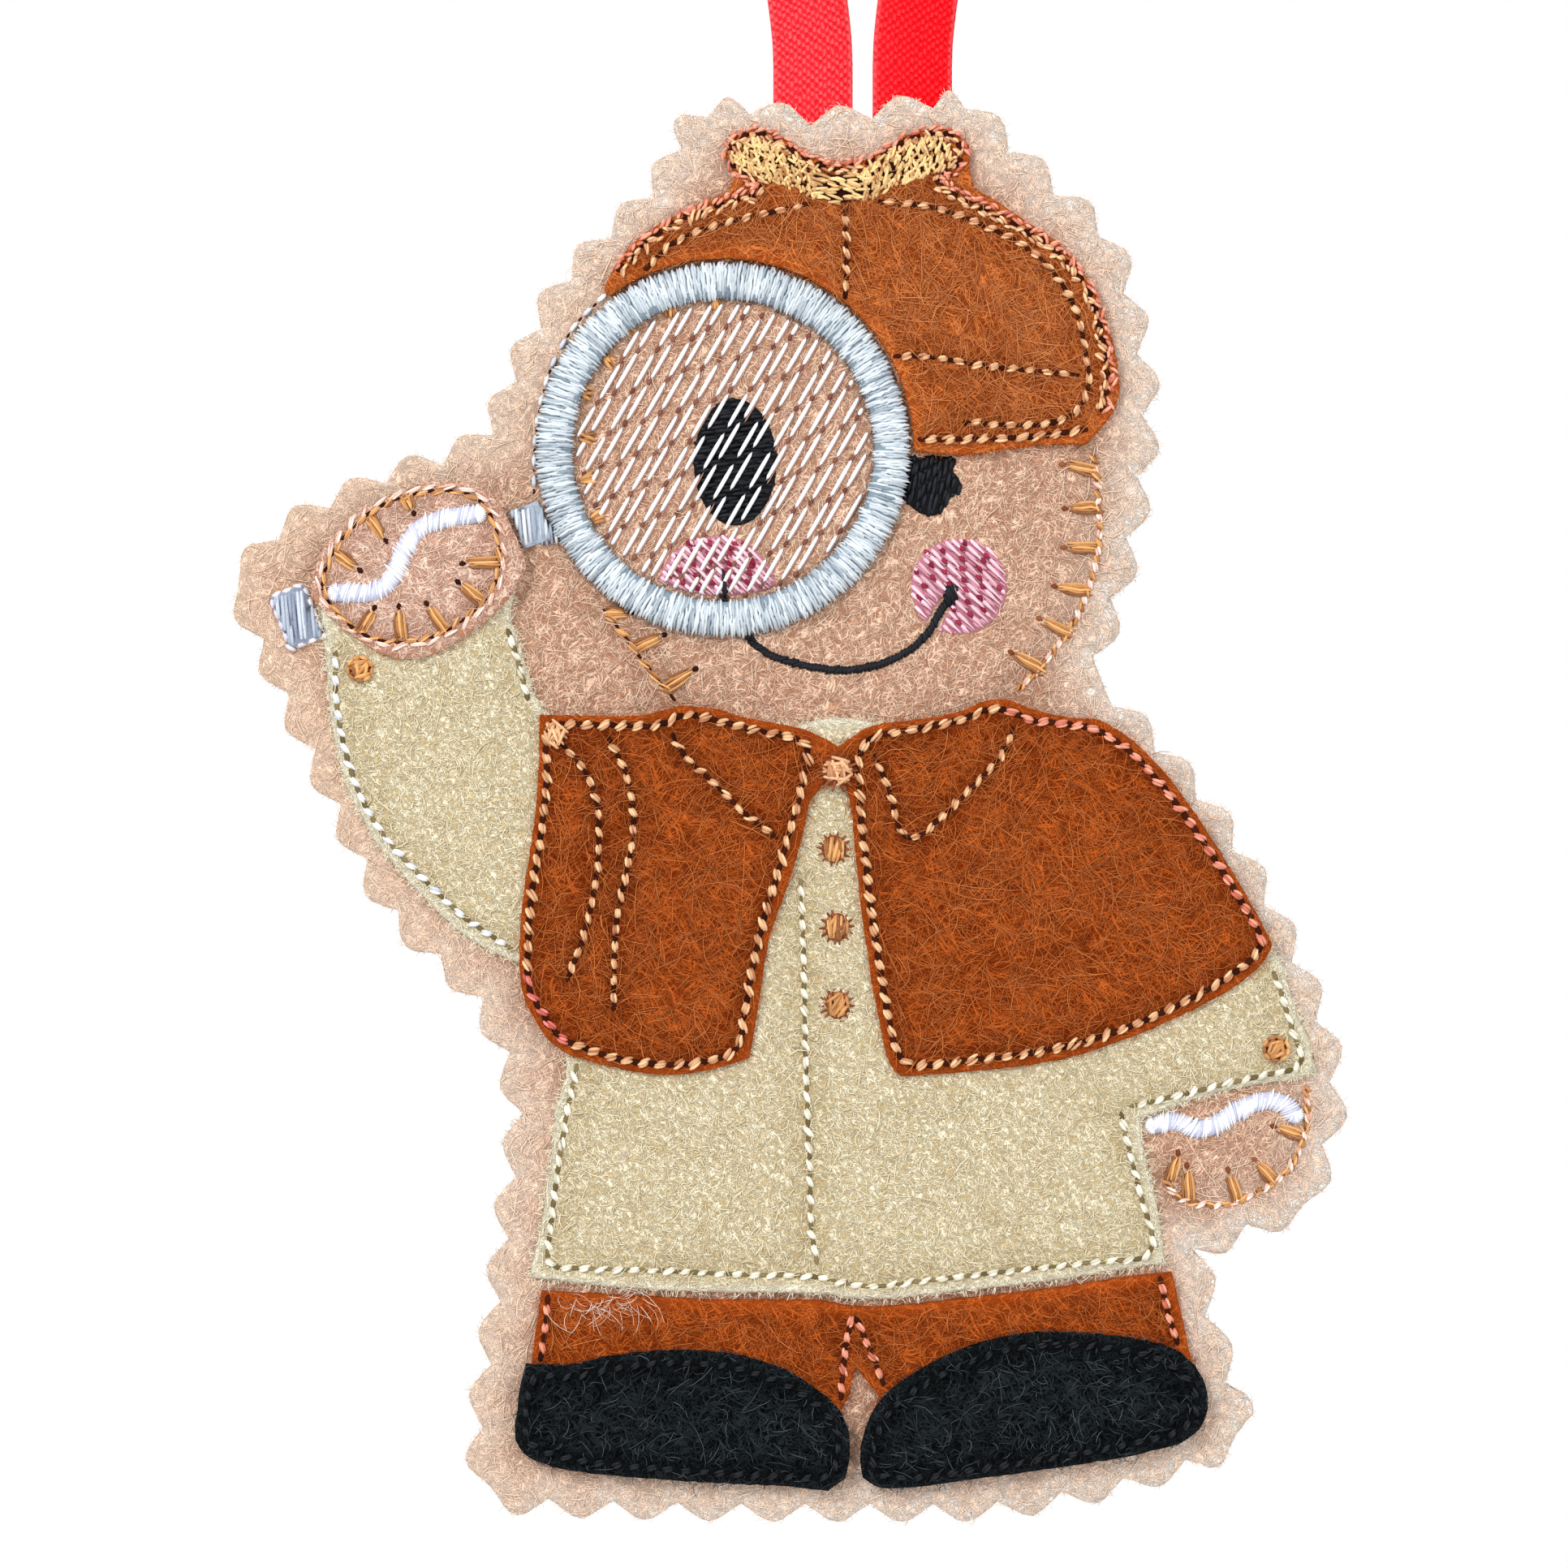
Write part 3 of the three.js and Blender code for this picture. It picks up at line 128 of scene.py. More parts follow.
def even_line(line, spacing, closed=False):
    """Points at an even spacing along a line, and the directions there."""
    line = np.vstack([line, line[:1]]) if closed else line
    along = lengths_along(line)
    count = max(2, round(along[-1] / spacing))
    places = np.linspace(0, along[-1], count + 1)
    points = np.stack([np.interp(places, along, line[:, axis]) for axis in range(line.shape[1])], axis=1)
    directions = unit(np.gradient(points, axis=0))
    if closed:
        return points[:-1], directions[:-1]
    return points, directions


# Meshes

def placed(name, data):
    """A new object in the scene."""
    made = bpy.data.objects.new(name, data)
    bpy.context.scene.collection.objects.link(made)
    return made


# The side that tubes turn to the front, a little askew so that no tube runs straight along it
NEARLY_FRONT = np.array([0.02, FRONT, 0.01])


class Stock:
    """Gathers many small closed shapes into one piece. Each face has a material, each point a shade."""

    def __init__(self):
        self.points = []
        self.faces = []
        self.shades = []
        self.materials = []
        self.count = 0

    def add(self, points, faces, shade=0.5, material=0):
        self.faces.extend([index + self.count for index in face] for face in faces)
        self.materials.extend([material] * len(faces))
        self.points.append(np.asarray(points, float))
        self.shades.append(np.broadcast_to(np.asarray(shade, float), len(points)))
        self.count += len(points)

    def add_tubes(self, paths, radii, sides=6, shade=None, material=0, flat=1.0):
        """Closed tubes: each path's first and last points are its tips, and radii are those between them.
        Without a shade, each tube gets one at random."""
        paths = np.asarray(paths, float)
        amount, length = paths.shape[:2]
        radii = np.broadcast_to(np.asarray(radii, float), (amount, length - 2))
        along = unit(np.gradient(paths, axis=1))[:, 1:-1]
        aside = unit(np.cross(along, NEARLY_FRONT))
        lift = np.cross(aside, along)
        turn = 2 * np.pi * np.arange(sides) / sides
        ring = (np.cos(turn)[:, None] * aside[:, :, None] + flat * np.sin(turn)[:, None] * lift[:, :, None])
        rings = paths[:, 1:-1, None] + ring * radii[:, :, None, None]
        points = np.concatenate([paths[:, :1], rings.reshape(amount, -1, 3), paths[:, -1:]], axis=1)
        per_tube = points.shape[1]
        starts = self.count + (np.arange(amount) * per_tube)[:, None, None]
        for block in tube_faces(length - 2, sides):
            faces = (block[None] + starts).reshape(-1, block.shape[1]).tolist()
            self.faces.extend(faces)
            self.materials.extend([material] * len(faces))
        if shade is None:
            shade = rng.uniform(0, 1, amount)
        self.add(points.reshape(-1, 3), [], np.repeat(np.broadcast_to(shade, amount), per_tube))

    def add_strand(self, surface, line, above, radii, material=0):
        """One tube along a line of (x, z) points, that much above a felt or a plane."""
        self.add_tubes([surface.surface(line, above)], radii, material=material)

    def add_strands(self, surface, lines, above, radii, **settings):
        """Tubes along many lines of (x, z) points, that much above a felt or a plane."""
        above = np.broadcast_to(above, lines.shape[:2]).ravel()
        paths = surface.surface(lines.reshape(-1, 2), above).reshape(*lines.shape[:2], 3)
        self.add_tubes(paths, radii, **settings)

    def piece(self, name, materials, slot, node=None, body="ornament", notes=None):
        """Makes the piece. notes are further numbers at each point that its materials read."""
        mesh = bpy.data.meshes.new(name)
        points = np.vstack(self.points) * MM
        mesh.from_pydata(points.tolist(), [], self.faces)
        mesh.polygons.foreach_set("material_index", self.materials)
        for note, values in {"shade": np.concatenate(self.shades), **(notes or {})}.items():
            attribute = mesh.attributes.new(note, "FLOAT", "POINT")
            attribute.data.foreach_set("value", np.asarray(values, np.float32))
        mesh.shade_smooth()
        for material in materials:
            mesh.materials.append(material)
        mesh.update()
        piece = placed(name, mesh)
        if body:
            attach(piece, body)
        if node:
            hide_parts(node)
        return piece


def tube_faces(rings, sides):
    """The faces of one tube with a tip point first, then its rings, then the other tip."""
    side = np.arange(sides)
    after = (side + 1) % sides
    quads = []
    for ring in range(rings - 1):
        here = 1 + ring * sides
        there = here + sides
        quads.append(np.stack([here + side, here + after, there + after, there + side], axis=1))
    last = 1 + (rings - 1) * sides
    tip = last + sides
    caps = np.concatenate([
        np.stack([np.zeros(sides, int), 1 + after, 1 + side], axis=1),
        np.stack([np.full(sides, tip), last + side, last + after], axis=1),
    ])
    return np.concatenate(quads), caps


# Felts

SAME_LEVEL = 0.01


def welded(node):
    """A CAD node's points in millimetres, each once, and its triangles."""
    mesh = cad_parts[node].data
    points = np.empty(len(mesh.vertices) * 3)
    mesh.vertices.foreach_get("co", points)
    mesh.calc_loop_triangles()
    triangles = np.empty(len(mesh.loop_triangles) * 3, int)
    mesh.loop_triangles.foreach_get("vertices", triangles)
    single, index = np.unique(points.reshape(-1, 3) / MM, axis=0, return_inverse=True)
    return single, index.ravel()[triangles].reshape(-1, 3)


def face_outlines(node, level_of=np.min):
    """The loops, as (x, z) points, that bound a CAD node's flat face: the foremost, or the one whose level
    level_of picks."""
    points, triangles = welded(node)
    level = level_of(points[:, 1])
    flat = triangles[(np.abs(points[triangles][:, :, 1] - level) < SAME_LEVEL).all(axis=1)]
    edges = {(a, b) for t in flat.tolist() for a, b in zip(t, t[1:] + t[:1])}
    following = {a: b for a, b in edges if (b, a) not in edges}
    loops = []
    while following:
        start, place = following.popitem()
        loop = [start]
        while place != start:
            loop.append(place)
            place = following.pop(place)
        loops.append(points[loop][:, [0, 2]])
    return loops


def rear_outlines(node):
    """The loops that bound a CAD node's rearmost flat face, smooth and finely divided."""
    return [rounded_loop(loop, REAR_SPACING) for loop in face_outlines(node, np.max)]


CORNER = math.radians(38)
REAR_SPACING = 0.5


def rounded_loop(loop, spacing):
    """A finer loop, smooth through its points apart from those that are corners."""
    before, after = np.roll(loop, 1, axis=0), np.roll(loop, -1, axis=0)
    coming, going = unit(loop - before), unit(after - loop)
    corner = (coming * going).sum(axis=1) < math.cos(CORNER)
    spans = []
    for index, (b, c) in enumerate(zip(loop, after)):
        following = (index + 1) % len(loop)
        a = 2 * b - c if corner[index] else before[index]
        d = 2 * c - b if corner[following] else after[following]
        steps = max(1, round(np.linalg.norm(c - b) / spacing))
        spans.append(curved(a, b, c, d, (np.arange(steps) / steps)[:, None]))
    return np.vstack(spans)


def segments_of(loops, closed=True):
    return np.vstack([
        np.hstack([loop, np.roll(loop, -1, axis=0)])[:None if closed else -1] for loop in loops
    ])


FAR_OFF = 1e3
PAIRS_AT_ONCE = 2_000_000


def distance_to(points, segments):
    """How far each point is from the nearest of the segments, worked out in chunks to save memory."""
    if segments is None:
        return np.full(len(points), FAR_OFF)
    start, end = segments[:, :2], segments[:, 2:]
    way = end - start
    squared = np.maximum((way ** 2).sum(axis=1), 1e-12)
    nearest = np.empty(len(points))
    chunk = max(1, PAIRS_AT_ONCE // len(segments))
    for first in range(0, len(points), chunk):
        some = points[first:first + chunk, None]
        share = np.clip(((some - start) * way).sum(axis=2) / squared, 0, 1)
        gap = some - start - share[..., None] * way
        nearest[first:first + chunk] = np.sqrt((gap ** 2).sum(axis=2).min(axis=1))
    return nearest


def inside(points, loops):
    """Whether each point lies inside the loops. A loop within another one is a hole."""
    x, z = points[:, 0], points[:, 1]
    within = np.zeros(len(points), bool)
    for ax, az, bx, bz in segments_of(loops):
        if az == bz:
            continue
        crosses = (az > z) != (bz > z)
        within ^= crosses & (x < ax + (bx - ax) * (z - az) / (bz - az))
    return within


def waves(points, length, seed, amount=9):
    """Smooth noise around zero whose bumps are about that long: a sum of sines at random slants."""
    source = np.random.default_rng(seed)
    turns = source.uniform(0, 2 * np.pi, amount)
    sizes = 2 * np.pi / (length * source.uniform(0.7, 1.6, amount))
    phases = source.uniform(0, 2 * np.pi, amount)
    way = np.stack([np.cos(turns), np.sin(turns)]) * sizes
    return np.sin(points @ way + phases).sum(axis=1) / math.sqrt(amount)


class Felt:
    """One felt sheet: its outline, its seams, and how far its face stands out at each place."""

    MAP_STEP = 0.3
    SWELL_REACH = 1.8
    PAINTED_SEAM_SHADE_REACH = 1.5
    EDGE_RING = 0.26
    RING_CLEARANCE = 0.2
    GRID_CLEARANCE_SHARE = 0.45
    JITTER_SHARE = 0.18
    WOBBLE = 0.035
    WOBBLE_LENGTH = 0.9
    WOBBLE_SEEDS = (7, 8)
    BROAD_BUMP = 0.035
    BROAD_BUMP_LENGTH = 2.2
    SMALL_BUMP = 0.02
    SMALL_BUMP_LENGTH = 1.1
    SMALL_BUMP_SEED = 50

    def __init__(self, node, inner, outer, seams=(), seams_close=False, facing=FRONT, edge=0.4, valley=0.3,
                 valley_width=0.75, swell=0.12, lip_width=0.8, seed=1):
        self.node, self.inner, self.outer, self.facing = node, inner, outer, facing
        self.seams, self.lip_width, self.seed = seams, lip_width, seed
        self.routes = segments_of([seam.points for seam in seams], seams_close) if seams else None
        self.loops = face_outlines(node)
        corners = np.vstack(self.loops)
        self.low, self.high = corners.min(axis=0), corners.max(axis=0)
        columns, rows = np.ceil((self.high - self.low) / self.MAP_STEP).astype(int) + 3
        self.start = self.low - self.MAP_STEP
        xs = self.start[0] + np.arange(columns) * self.MAP_STEP
        zs = self.start[1] + np.arange(rows) * self.MAP_STEP
        places = np.stack(np.meshgrid(xs, zs, indexing="ij"), axis=-1).reshape(-1, 2)
        from_edge = distance_to(places, segments_of(self.loops)) * inside(places, self.loops)
        from_seam = distance_to(places, self.routes)
        rounding = edge - np.sqrt(edge ** 2 - (edge - np.minimum(from_edge, edge)) ** 2)
        free = np.minimum(from_seam, from_edge)
        height = (outer - inner) - rounding - valley * np.exp(-(from_seam / valley_width) ** 2)
        height += swell * (1 - np.exp(-(free / self.SWELL_REACH) ** 2))
        broad_bumps = self.BROAD_BUMP * waves(places, self.BROAD_BUMP_LENGTH, seed)
        small_bumps = self.SMALL_BUMP * waves(places, self.SMALL_BUMP_LENGTH, seed + self.SMALL_BUMP_SEED)
        height += broad_bumps + small_bumps
        self.map = height.reshape(columns, rows)

    def rise(self, points):
        """How far the face stands out from the felt's inner side, in millimetres."""
        place = (points - self.start) / self.MAP_STEP
        limit = np.array(self.map.shape) - 2
        cell = np.clip(np.floor(place).astype(int), 0, limit)
        (u, v), (i, j) = np.clip(place - cell, 0, 1).T, cell.T
        return ((1 - u) * (1 - v) * self.map[i, j] + u * (1 - v) * self.map[i + 1, j]
                + (1 - u) * v * self.map[i, j + 1] + u * v * self.map[i + 1, j + 1])

    def surface(self, points, above=0.0):
        """Points (x, z) laid on the face, as (x, y, z), that much above it."""
        y = self.facing * (self.inner + self.rise(points) + above)
        return np.stack([points[:, 0], y, points[:, 1]], axis=1)

    def random_places(self, density):
        count = int(density * np.prod(self.high - self.low))
        places = rng.uniform(self.low, self.high, (count, 2))
        return places[inside(places, self.loops)]

    def mesh_points(self, spacing):
        """The loops' points, then a ring just inside them, then a jittered grid."""
        loops = [rounded_loop(loop, spacing) for loop in self.loops]
        for loop in loops:
            aside = [waves(loop, self.WOBBLE_LENGTH, self.seed + step) for step in self.WOBBLE_SEEDS]
            loop += np.stack(aside, axis=1) * self.WOBBLE
        border = segments_of(loops)
        rings = []
        for loop in loops:
            along = unit(np.roll(loop, -1, axis=0) - np.roll(loop, 1, axis=0))
            aside = left_of(along) * self.EDGE_RING
            for ring in (loop + aside, loop - aside):
                rings.append(ring[inside(ring, loops)])
        ring = np.vstack(rings)
        ring = ring[distance_to(ring, border) > self.RING_CLEARANCE]
        xs = np.arange(self.low[0], self.high[0], spacing)
        zs = np.arange(self.low[1], self.high[1], spacing * math.sqrt(3) / 2)
        grid = np.stack(np.meshgrid(xs, zs), axis=-1)
        grid[1::2, :, 0] += spacing / 2
        grid = grid.reshape(-1, 2)
        grid = grid + rng.uniform(-self.JITTER_SHARE, self.JITTER_SHARE, grid.shape) * spacing
        grid = grid[inside(grid, loops)]
        grid = grid[distance_to(grid, border) > self.EDGE_RING + spacing * self.GRID_CLEARANCE_SHARE]
        return loops, np.vstack([ring, grid])

    def build(self, material, slot, spacing, rests_on, with_pieces=()):
        """Builds the felt from its face, its inner side, and a border halfway between them."""
        loops, free = self.mesh_points(spacing)
        edge_count = sum(len(loop) for loop in loops)
        plan = np.vstack([*loops, free])
        edges, first = [], 0
        for loop in loops:
            index = np.arange(len(loop))
            edges.extend(zip((first + index).tolist(), (first + (index + 1) % len(loop)).tolist()))
            first += len(loop)
        face_triangles = triangulated(plan, edges, loops)
        inner_triangles = triangulated(plan[:edge_count], edges, loops)
        face = self.surface(plan)
        inner = face[:edge_count].copy()
        inner[:, 1] = self.facing * self.inner
        middle = (face[:edge_count] + inner) / 2
        count = len(plan)
        front = self.facing == FRONT
        faces = [oriented(t, not front) for t in face_triangles]
        faces += [oriented([i + count + edge_count for i in t], front) for t in inner_triangles]
        for (a, b), left in zip(edges, felt_on_left(plan, edges, loops)):
            for upper, lower in ((0, count), (count, count + edge_count)):
                faces.append(oriented([a + upper, b + upper, b + lower, a + lower], left == front))
        stock = Stock()
        stock.add(np.vstack([face, middle, inner]), faces)
        around = np.vstack([plan, plan[:edge_count], plan[:edge_count]])
        # The first note marks painted shade near the seams, which pull the felt in; the second how near the
        # cut edge each point lies
        notes = {
            "painted_seam_shade": np.exp(-(distance_to(around, self.routes) / self.PAINTED_SEAM_SHADE_REACH) ** 2),
            "lip": np.exp(-(distance_to(around, segments_of(self.loops)) / self.lip_width) ** 2),
        }
        piece = stock.piece(f"{self.node}_fabric", [material], slot, self.node, notes=notes)


SIDE_STEP = 0.02
WELD_DISTANCE = 1e-5


def felt_on_left(plan, edges, loops):
    """For each edge of the outline, whether the felt lies on its left, seen from the front."""
    ends = np.array(edges)
    start, end = plan[ends[:, 0]], plan[ends[:, 1]]
    left = (start + end) / 2 + left_of(unit(end - start)) * SIDE_STEP
    return inside(left, loops).tolist()


def oriented(face, flip):
    return list(face)[::-1] if flip else list(face)


def triangulated(points, edges, loops):
    """The triangles of a flat mesh within the loops, all turning the same way seen along +Y."""
    made = delaunay_2d_cdt([Vector(p) for p in points.tolist()], edges, [], 0, WELD_DISTANCE)
    if len(made[0]) != len(points):
        raise ValueError("the outline crosses itself")
    order = [source[0] for source in made[3]]
    triangles = np.array([[order[i] for i in face] for face in made[2]])
    centres = points[triangles].mean(axis=1)
    triangles = triangles[inside(centres, loops)]
    a, b, c = (points[triangles[:, corner]] for corner in range(3))
    turn = (b[:, 0] - a[:, 0]) * (c[:, 1] - a[:, 1]) - (b[:, 1] - a[:, 1]) * (c[:, 0] - a[:, 0])
    triangles[turn < 0] = triangles[turn < 0][:, ::-1]
    return triangles.tolist()


# Materials: every one is made of procedural nodes, measured in millimetres

class Shader:
    """A material with a Principled shader, and short calls that add nodes to it."""

    def __init__(self, name, roughness=0.6, sheen=0.0, specular=0.4):
        self.material = bpy.data.materials.new(name)
        self.material.use_nodes = True
        self.tree = self.material.node_tree
        self.surface = self.tree.nodes["Principled BSDF"]
        self.set("Roughness", roughness)
        self.set("Sheen Weight", sheen)
        self.set("Specular IOR Level", specular)
        self.place = self.node("ShaderNodeTexCoord").outputs["Object"]
        self.place = self.stretched(self.place, (MM, MM, MM))

    def fill(self, socket, value):
        """Links another socket to this one, or sets its value."""
        if isinstance(value, bpy.types.NodeSocket):
            self.tree.links.new(value, socket)
        else:
            socket.default_value = value

    def set(self, name, value):
        self.fill(self.surface.inputs[name], value)

    def node(self, kind, inputs=None, **settings):
        made = self.tree.nodes.new(kind)
        for name, value in settings.items():
            setattr(made, name, value)
        for name, value in (inputs or {}).items():
            self.fill(made.inputs[name], value)
        return made

    def stretched(self, vector, sizes, turn=0.0):
        """Turns a place about the Y axis, then divides it by sizes."""
        inputs = {"Vector": vector, "Scale": sizes, "Rotation": (0, turn, 0)}
        return self.node("ShaderNodeMapping", inputs, vector_type="TEXTURE").outputs["Vector"]

    def noise(self, vector, scale, detail=1.0, distortion=0.0, output="Fac"):
        inputs = {"Vector": vector, "Scale": scale, "Detail": detail, "Distortion": distortion}
        return self.node("ShaderNodeTexNoise", inputs).outputs[output]

    def math(self, operation, first, second=0.0):
        return self.node("ShaderNodeMath", {0: first, 1: second}, operation=operation).outputs[0]

    def times(self, first, second):
        return self.math("MULTIPLY", first, second)

    def moved(self, operation, *inputs):
        """A vector worked out from others."""
        node = self.node("ShaderNodeVectorMath", dict(enumerate(inputs)), operation=operation)
        return node.outputs["Vector"]

    def ranged(self, value, low, high, to_low=0.0, to_high=1.0, kind="SMOOTHSTEP"):
        inputs = {"Value": value, "From Min": low, "From Max": high, "To Min": to_low, "To Max": to_high}
        return self.node("ShaderNodeMapRange", inputs, interpolation_type=kind).outputs["Result"]

    def mixed(self, share, first, second):
        mix = self.node("ShaderNodeMix", data_type="RGBA")
        for socket, value in (("Factor_Float", share), ("A_Color", first), ("B_Color", second)):
            self.fill(next(i for i in mix.inputs if i.identifier == socket), value)
        return next(o for o in mix.outputs if o.identifier == "Result_Color")

    def attribute(self, name):
        return self.node("ShaderNodeAttribute", attribute_name=name).outputs["Fac"]

    def bumped(self, height, depth):
        """Stands the surface out by height times depth, in millimetres."""
        bump = self.node("ShaderNodeBump", {"Height": height, "Distance": depth * MM, "Strength": 1.0})
        self.set("Normal", bump.outputs["Normal"])


def colour(red, green, blue):
    """A colour given in the usual 0 to 255 steps, as linear values."""
    def linear(step):
        level = step / 255
        return level / 12.92 if level <= 0.04045 else ((level + 0.055) / 1.055) ** 2.4
    return (linear(red), linear(green), linear(blue), 1.0)


# Each layer of a felt's fibres has its own slant and place in the noise, and is coarser than the last one
STRAND_SLANTS = (0.25, 0.85, 1.4, 2.0, 2.65)
COARSER_BY = 0.1
LAYER_SHIFT = (7.3, 2.1, 4.7)
# The x between which a felt's edge goes from the lip colour to the paler right one, which is painted light
LEFT_LIP_END = -50.0
RIGHT_LIP_START = -4.0


def felt_material(name, ground, middle, fibre, deep, lip, width, length, curl, curl_scale, lit_right_lip=None):
    """Matted wool: thin fibres at several slants over a darker ground, with the deep colour as painted shade
    in the gaps between the fibres and, stronger, as painted shade where a seam pulls the felt in. It takes
    the lip colour near its cut edge, or, at the figure's right, a paler colour that is painted light. width
    and length are the fibres', and curl is how far they bend aside. Colours are given in 0 to 255."""
    shader = Shader(name, roughness=0.95, specular=0.05)
    ground, middle, fibre, deep, lip = (colour(*tone) for tone in (ground, middle, fibre, deep, lip))
    # Toward the figure's right the edge turns paler: painted light
    if lit_right_lip:
        x = shader.node("ShaderNodeSeparateXYZ", {"Vector": shader.place}).outputs["X"]
        lip = shader.mixed(shader.ranged(x, LEFT_LIP_END, RIGHT_LIP_START), lip, colour(*lit_right_lip))
    at_edge = shader.times(shader.attribute("lip"), 0.95)
    further_in = shader.math("SUBTRACT", 1.0, at_edge)
    wander = shader.noise(shader.place, curl_scale, detail=1, output="Color")
    wander = shader.moved("SUBTRACT", wander, (0.5, 0.5, 0.5))
    warped = shader.moved("MULTIPLY_ADD", wander, (4 * curl, 0.0, 4 * curl), shader.place)
    mat, shadow = None, None
    for layer, slant in enumerate(STRAND_SLANTS):
        coarser = 1 + COARSER_BY * layer
        strands = shader.stretched(warped, (width * coarser, 0.6, length * coarser), slant)
        strands = shader.moved("ADD", strands, tuple(shift * layer for shift in LAYER_SHIFT))
        strand = shader.noise(strands, 1.0, detail=0.5)
        light = shader.ranged(strand, 0.56, 0.67)
        dark = shader.ranged(strand, 0.45, 0.35)
        mat = light if mat is None else shader.math("MAXIMUM", mat, light)
        shadow = dark if shadow is None else shader.math("ADD", shadow, dark)
    shadow = shader.math("MINIMUM", shader.times(shadow, 0.5), 1.0)
    clumps = shader.ranged(shader.noise(shader.place, 0.22, detail=4), 0.3, 0.7)
    base = shader.mixed(clumps, ground, middle)
    base = shader.mixed(at_edge, base, lip)
    base = shader.mixed(shader.times(shader.times(shadow, 0.7), further_in), base, deep)
    base = shader.mixed(shader.times(mat, 0.85), base, fibre)
    # Painted shade where the seams pull the felt in, less near the cut edge
    painted_seam_shade = shader.times(shader.times(shader.attribute("painted_seam_shade"), 0.45), further_in)
    shader.set("Base Color", shader.mixed(painted_seam_shade, base, deep))
    shader.bumped(shader.math("SUBTRACT", mat, shader.times(shadow, 0.6)), 0.12)
    return shader.material


def shaded_material(name, dark, light, roughness=0.55, sheen=0.0, specular=0.3):
    """Thread or single fibres: each strand takes its own shade between two colours, given in 0 to 255."""
    shader = Shader(name, roughness=roughness, sheen=sheen, specular=specular)
    shade = shader.attribute("shade")
    speckle = shader.noise(shader.place, 6.0, detail=2)
    share = shader.math("ADD", shader.times(shade, 0.75), shader.times(speckle, 0.3))
    shader.set("Base Color", shader.mixed(share, colour(*dark), colour(*light)))
    shader.bumped(speckle, 0.03)
    return shader.material


def hole_material(name, dark, light):
    """The painted shade in a needle hole, or the painted shadow beside a thread."""
    return shaded_material(name, dark, light, 0.9, specular=0.1)


def thread_material(name, dark, light):
    return shaded_material(f"{name}_strands", dark, light)


RIBBON_WIDTH = 6.35
WEAVE_COLUMN = 0.33
WEAVE_PERIOD = 0.68
WEAVE_SHIFT = 0.41
SELVEDGE = (2.7, 3.0)


def ribbon_material():
    """A woven ribbon: columns of small dark dashes, each shifted from the last, that slip and are worn
    unevenly, with a painted highlight on the floats between them. across and along are places on the ribbon
    in millimetres."""
    shader = Shader("red_ribbon_weave", roughness=0.7, specular=0.08)
    across, along = shader.attribute("across"), shader.attribute("along")
    column = shader.times(across, 1 / WEAVE_COLUMN)
    shift = shader.times(shader.math("FLOOR", column), 2 * math.pi * WEAVE_SHIFT)
    ends = shader.math("SINE", shader.times(shader.math("FRACT", column), math.pi))
    turn = shader.math("ADD", shader.times(along, 2 * math.pi / WEAVE_PERIOD), shift)
    slip = shader.noise(shader.stretched(shader.place, (0.4, 1.0, 0.9)), 1.0, detail=2)
    wave = shader.math("SINE", shader.math("ADD", turn, shader.times(slip, 7.0)))
    wear_and_shine = shader.noise(shader.stretched(shader.place, (0.25, 1.0, 0.6)), 1.0, detail=2)
    dips = shader.times(ends, shader.ranged(wave, -0.1, 0.9))
    dips = shader.times(dips, shader.ranged(wear_and_shine, 0.35, 0.6, 0.2, 1.0))
    # A painted highlight on the floats, stronger on the left leg
    shine = shader.times(shader.times(ends, shader.ranged(wave, 0.4, -0.6)), wear_and_shine)
    shine = shader.times(shine, shader.ranged(shader.attribute("shade"), 0.0, 1.0, 0.35, 1.0))
    from_middle = shader.math("ABSOLUTE", shader.math("SUBTRACT", across, RIBBON_WIDTH / 2))
    selvedge = shader.ranged(from_middle, *SELVEDGE)
    plain = shader.mixed(shader.attribute("shade"), colour(250, 0, 16), colour(255, 40, 52))
    plain = shader.mixed(shader.times(selvedge, 0.3), plain, colour(255, 120, 124))
    plain = shader.mixed(shader.times(shine, 0.6), plain, colour(255, 134, 138))
    shader.set("Base Color", shader.mixed(shader.times(dips, 0.6), plain, colour(206, 0, 14)))
    shader.bumped(shader.math("SUBTRACT", 1.0, dips), 0.1)
    return shader.material


def sheet_material():
    """Thin non-woven fabric: a faint mat of pressed fibres."""
    shader = Shader("pale_sheet_mat", roughness=0.9, sheen=0.1, specular=0.2)
    mat = shader.noise(shader.place, 2.5, detail=4, distortion=1.5)
    shader.set("Base Color", shader.mixed(mat, colour(226, 222, 212), colour(250, 249, 245)))
    shader.bumped(mat, 0.05)
    return shader.material


TAN = felt_material("tan_felt_mat", (214, 158, 126), (223, 168, 136), (255, 218, 190),
                    (156, 100, 72), (250, 220, 194), 0.075, 1.0, 0.25, 0.9,
                    lit_right_lip=(255, 252, 244))
HAND = felt_material("hand_felt_mat", (224, 172, 146), (232, 184, 160), (255, 224, 204),
                     (172, 114, 88), (214, 140, 102), 0.075, 1.1, 0.3, 0.8)
CREAM = felt_material("cream_felt_mat", (242, 217, 166), (248, 224, 176), (255, 248, 220),
                      (186, 160, 106), (255, 250, 230), 0.07, 0.6, 0.16, 1.6)
RUST = felt_material("rust_felt_mat", (144, 52, 5), (160, 62, 9), (204, 100, 38),
                     (74, 21, 2), (184, 74, 18), 0.06, 1.6, 0.35, 0.4)
HAT_RUST = felt_material("hat_felt_mat", (168, 64, 12), (182, 76, 19), (230, 132, 66),
                         (98, 30, 3), (198, 82, 24), 0.06, 1.6, 0.35, 0.4)
CHARCOAL = felt_material("black_felt_mat", (2, 3, 4), (4, 6, 7), (36, 42, 45),
                         (1, 1, 1), (8, 11, 12), 0.08, 1.0, 0.25, 1.0)
PALE_SHEET = sheet_material()
RED_RIBBON = ribbon_material()

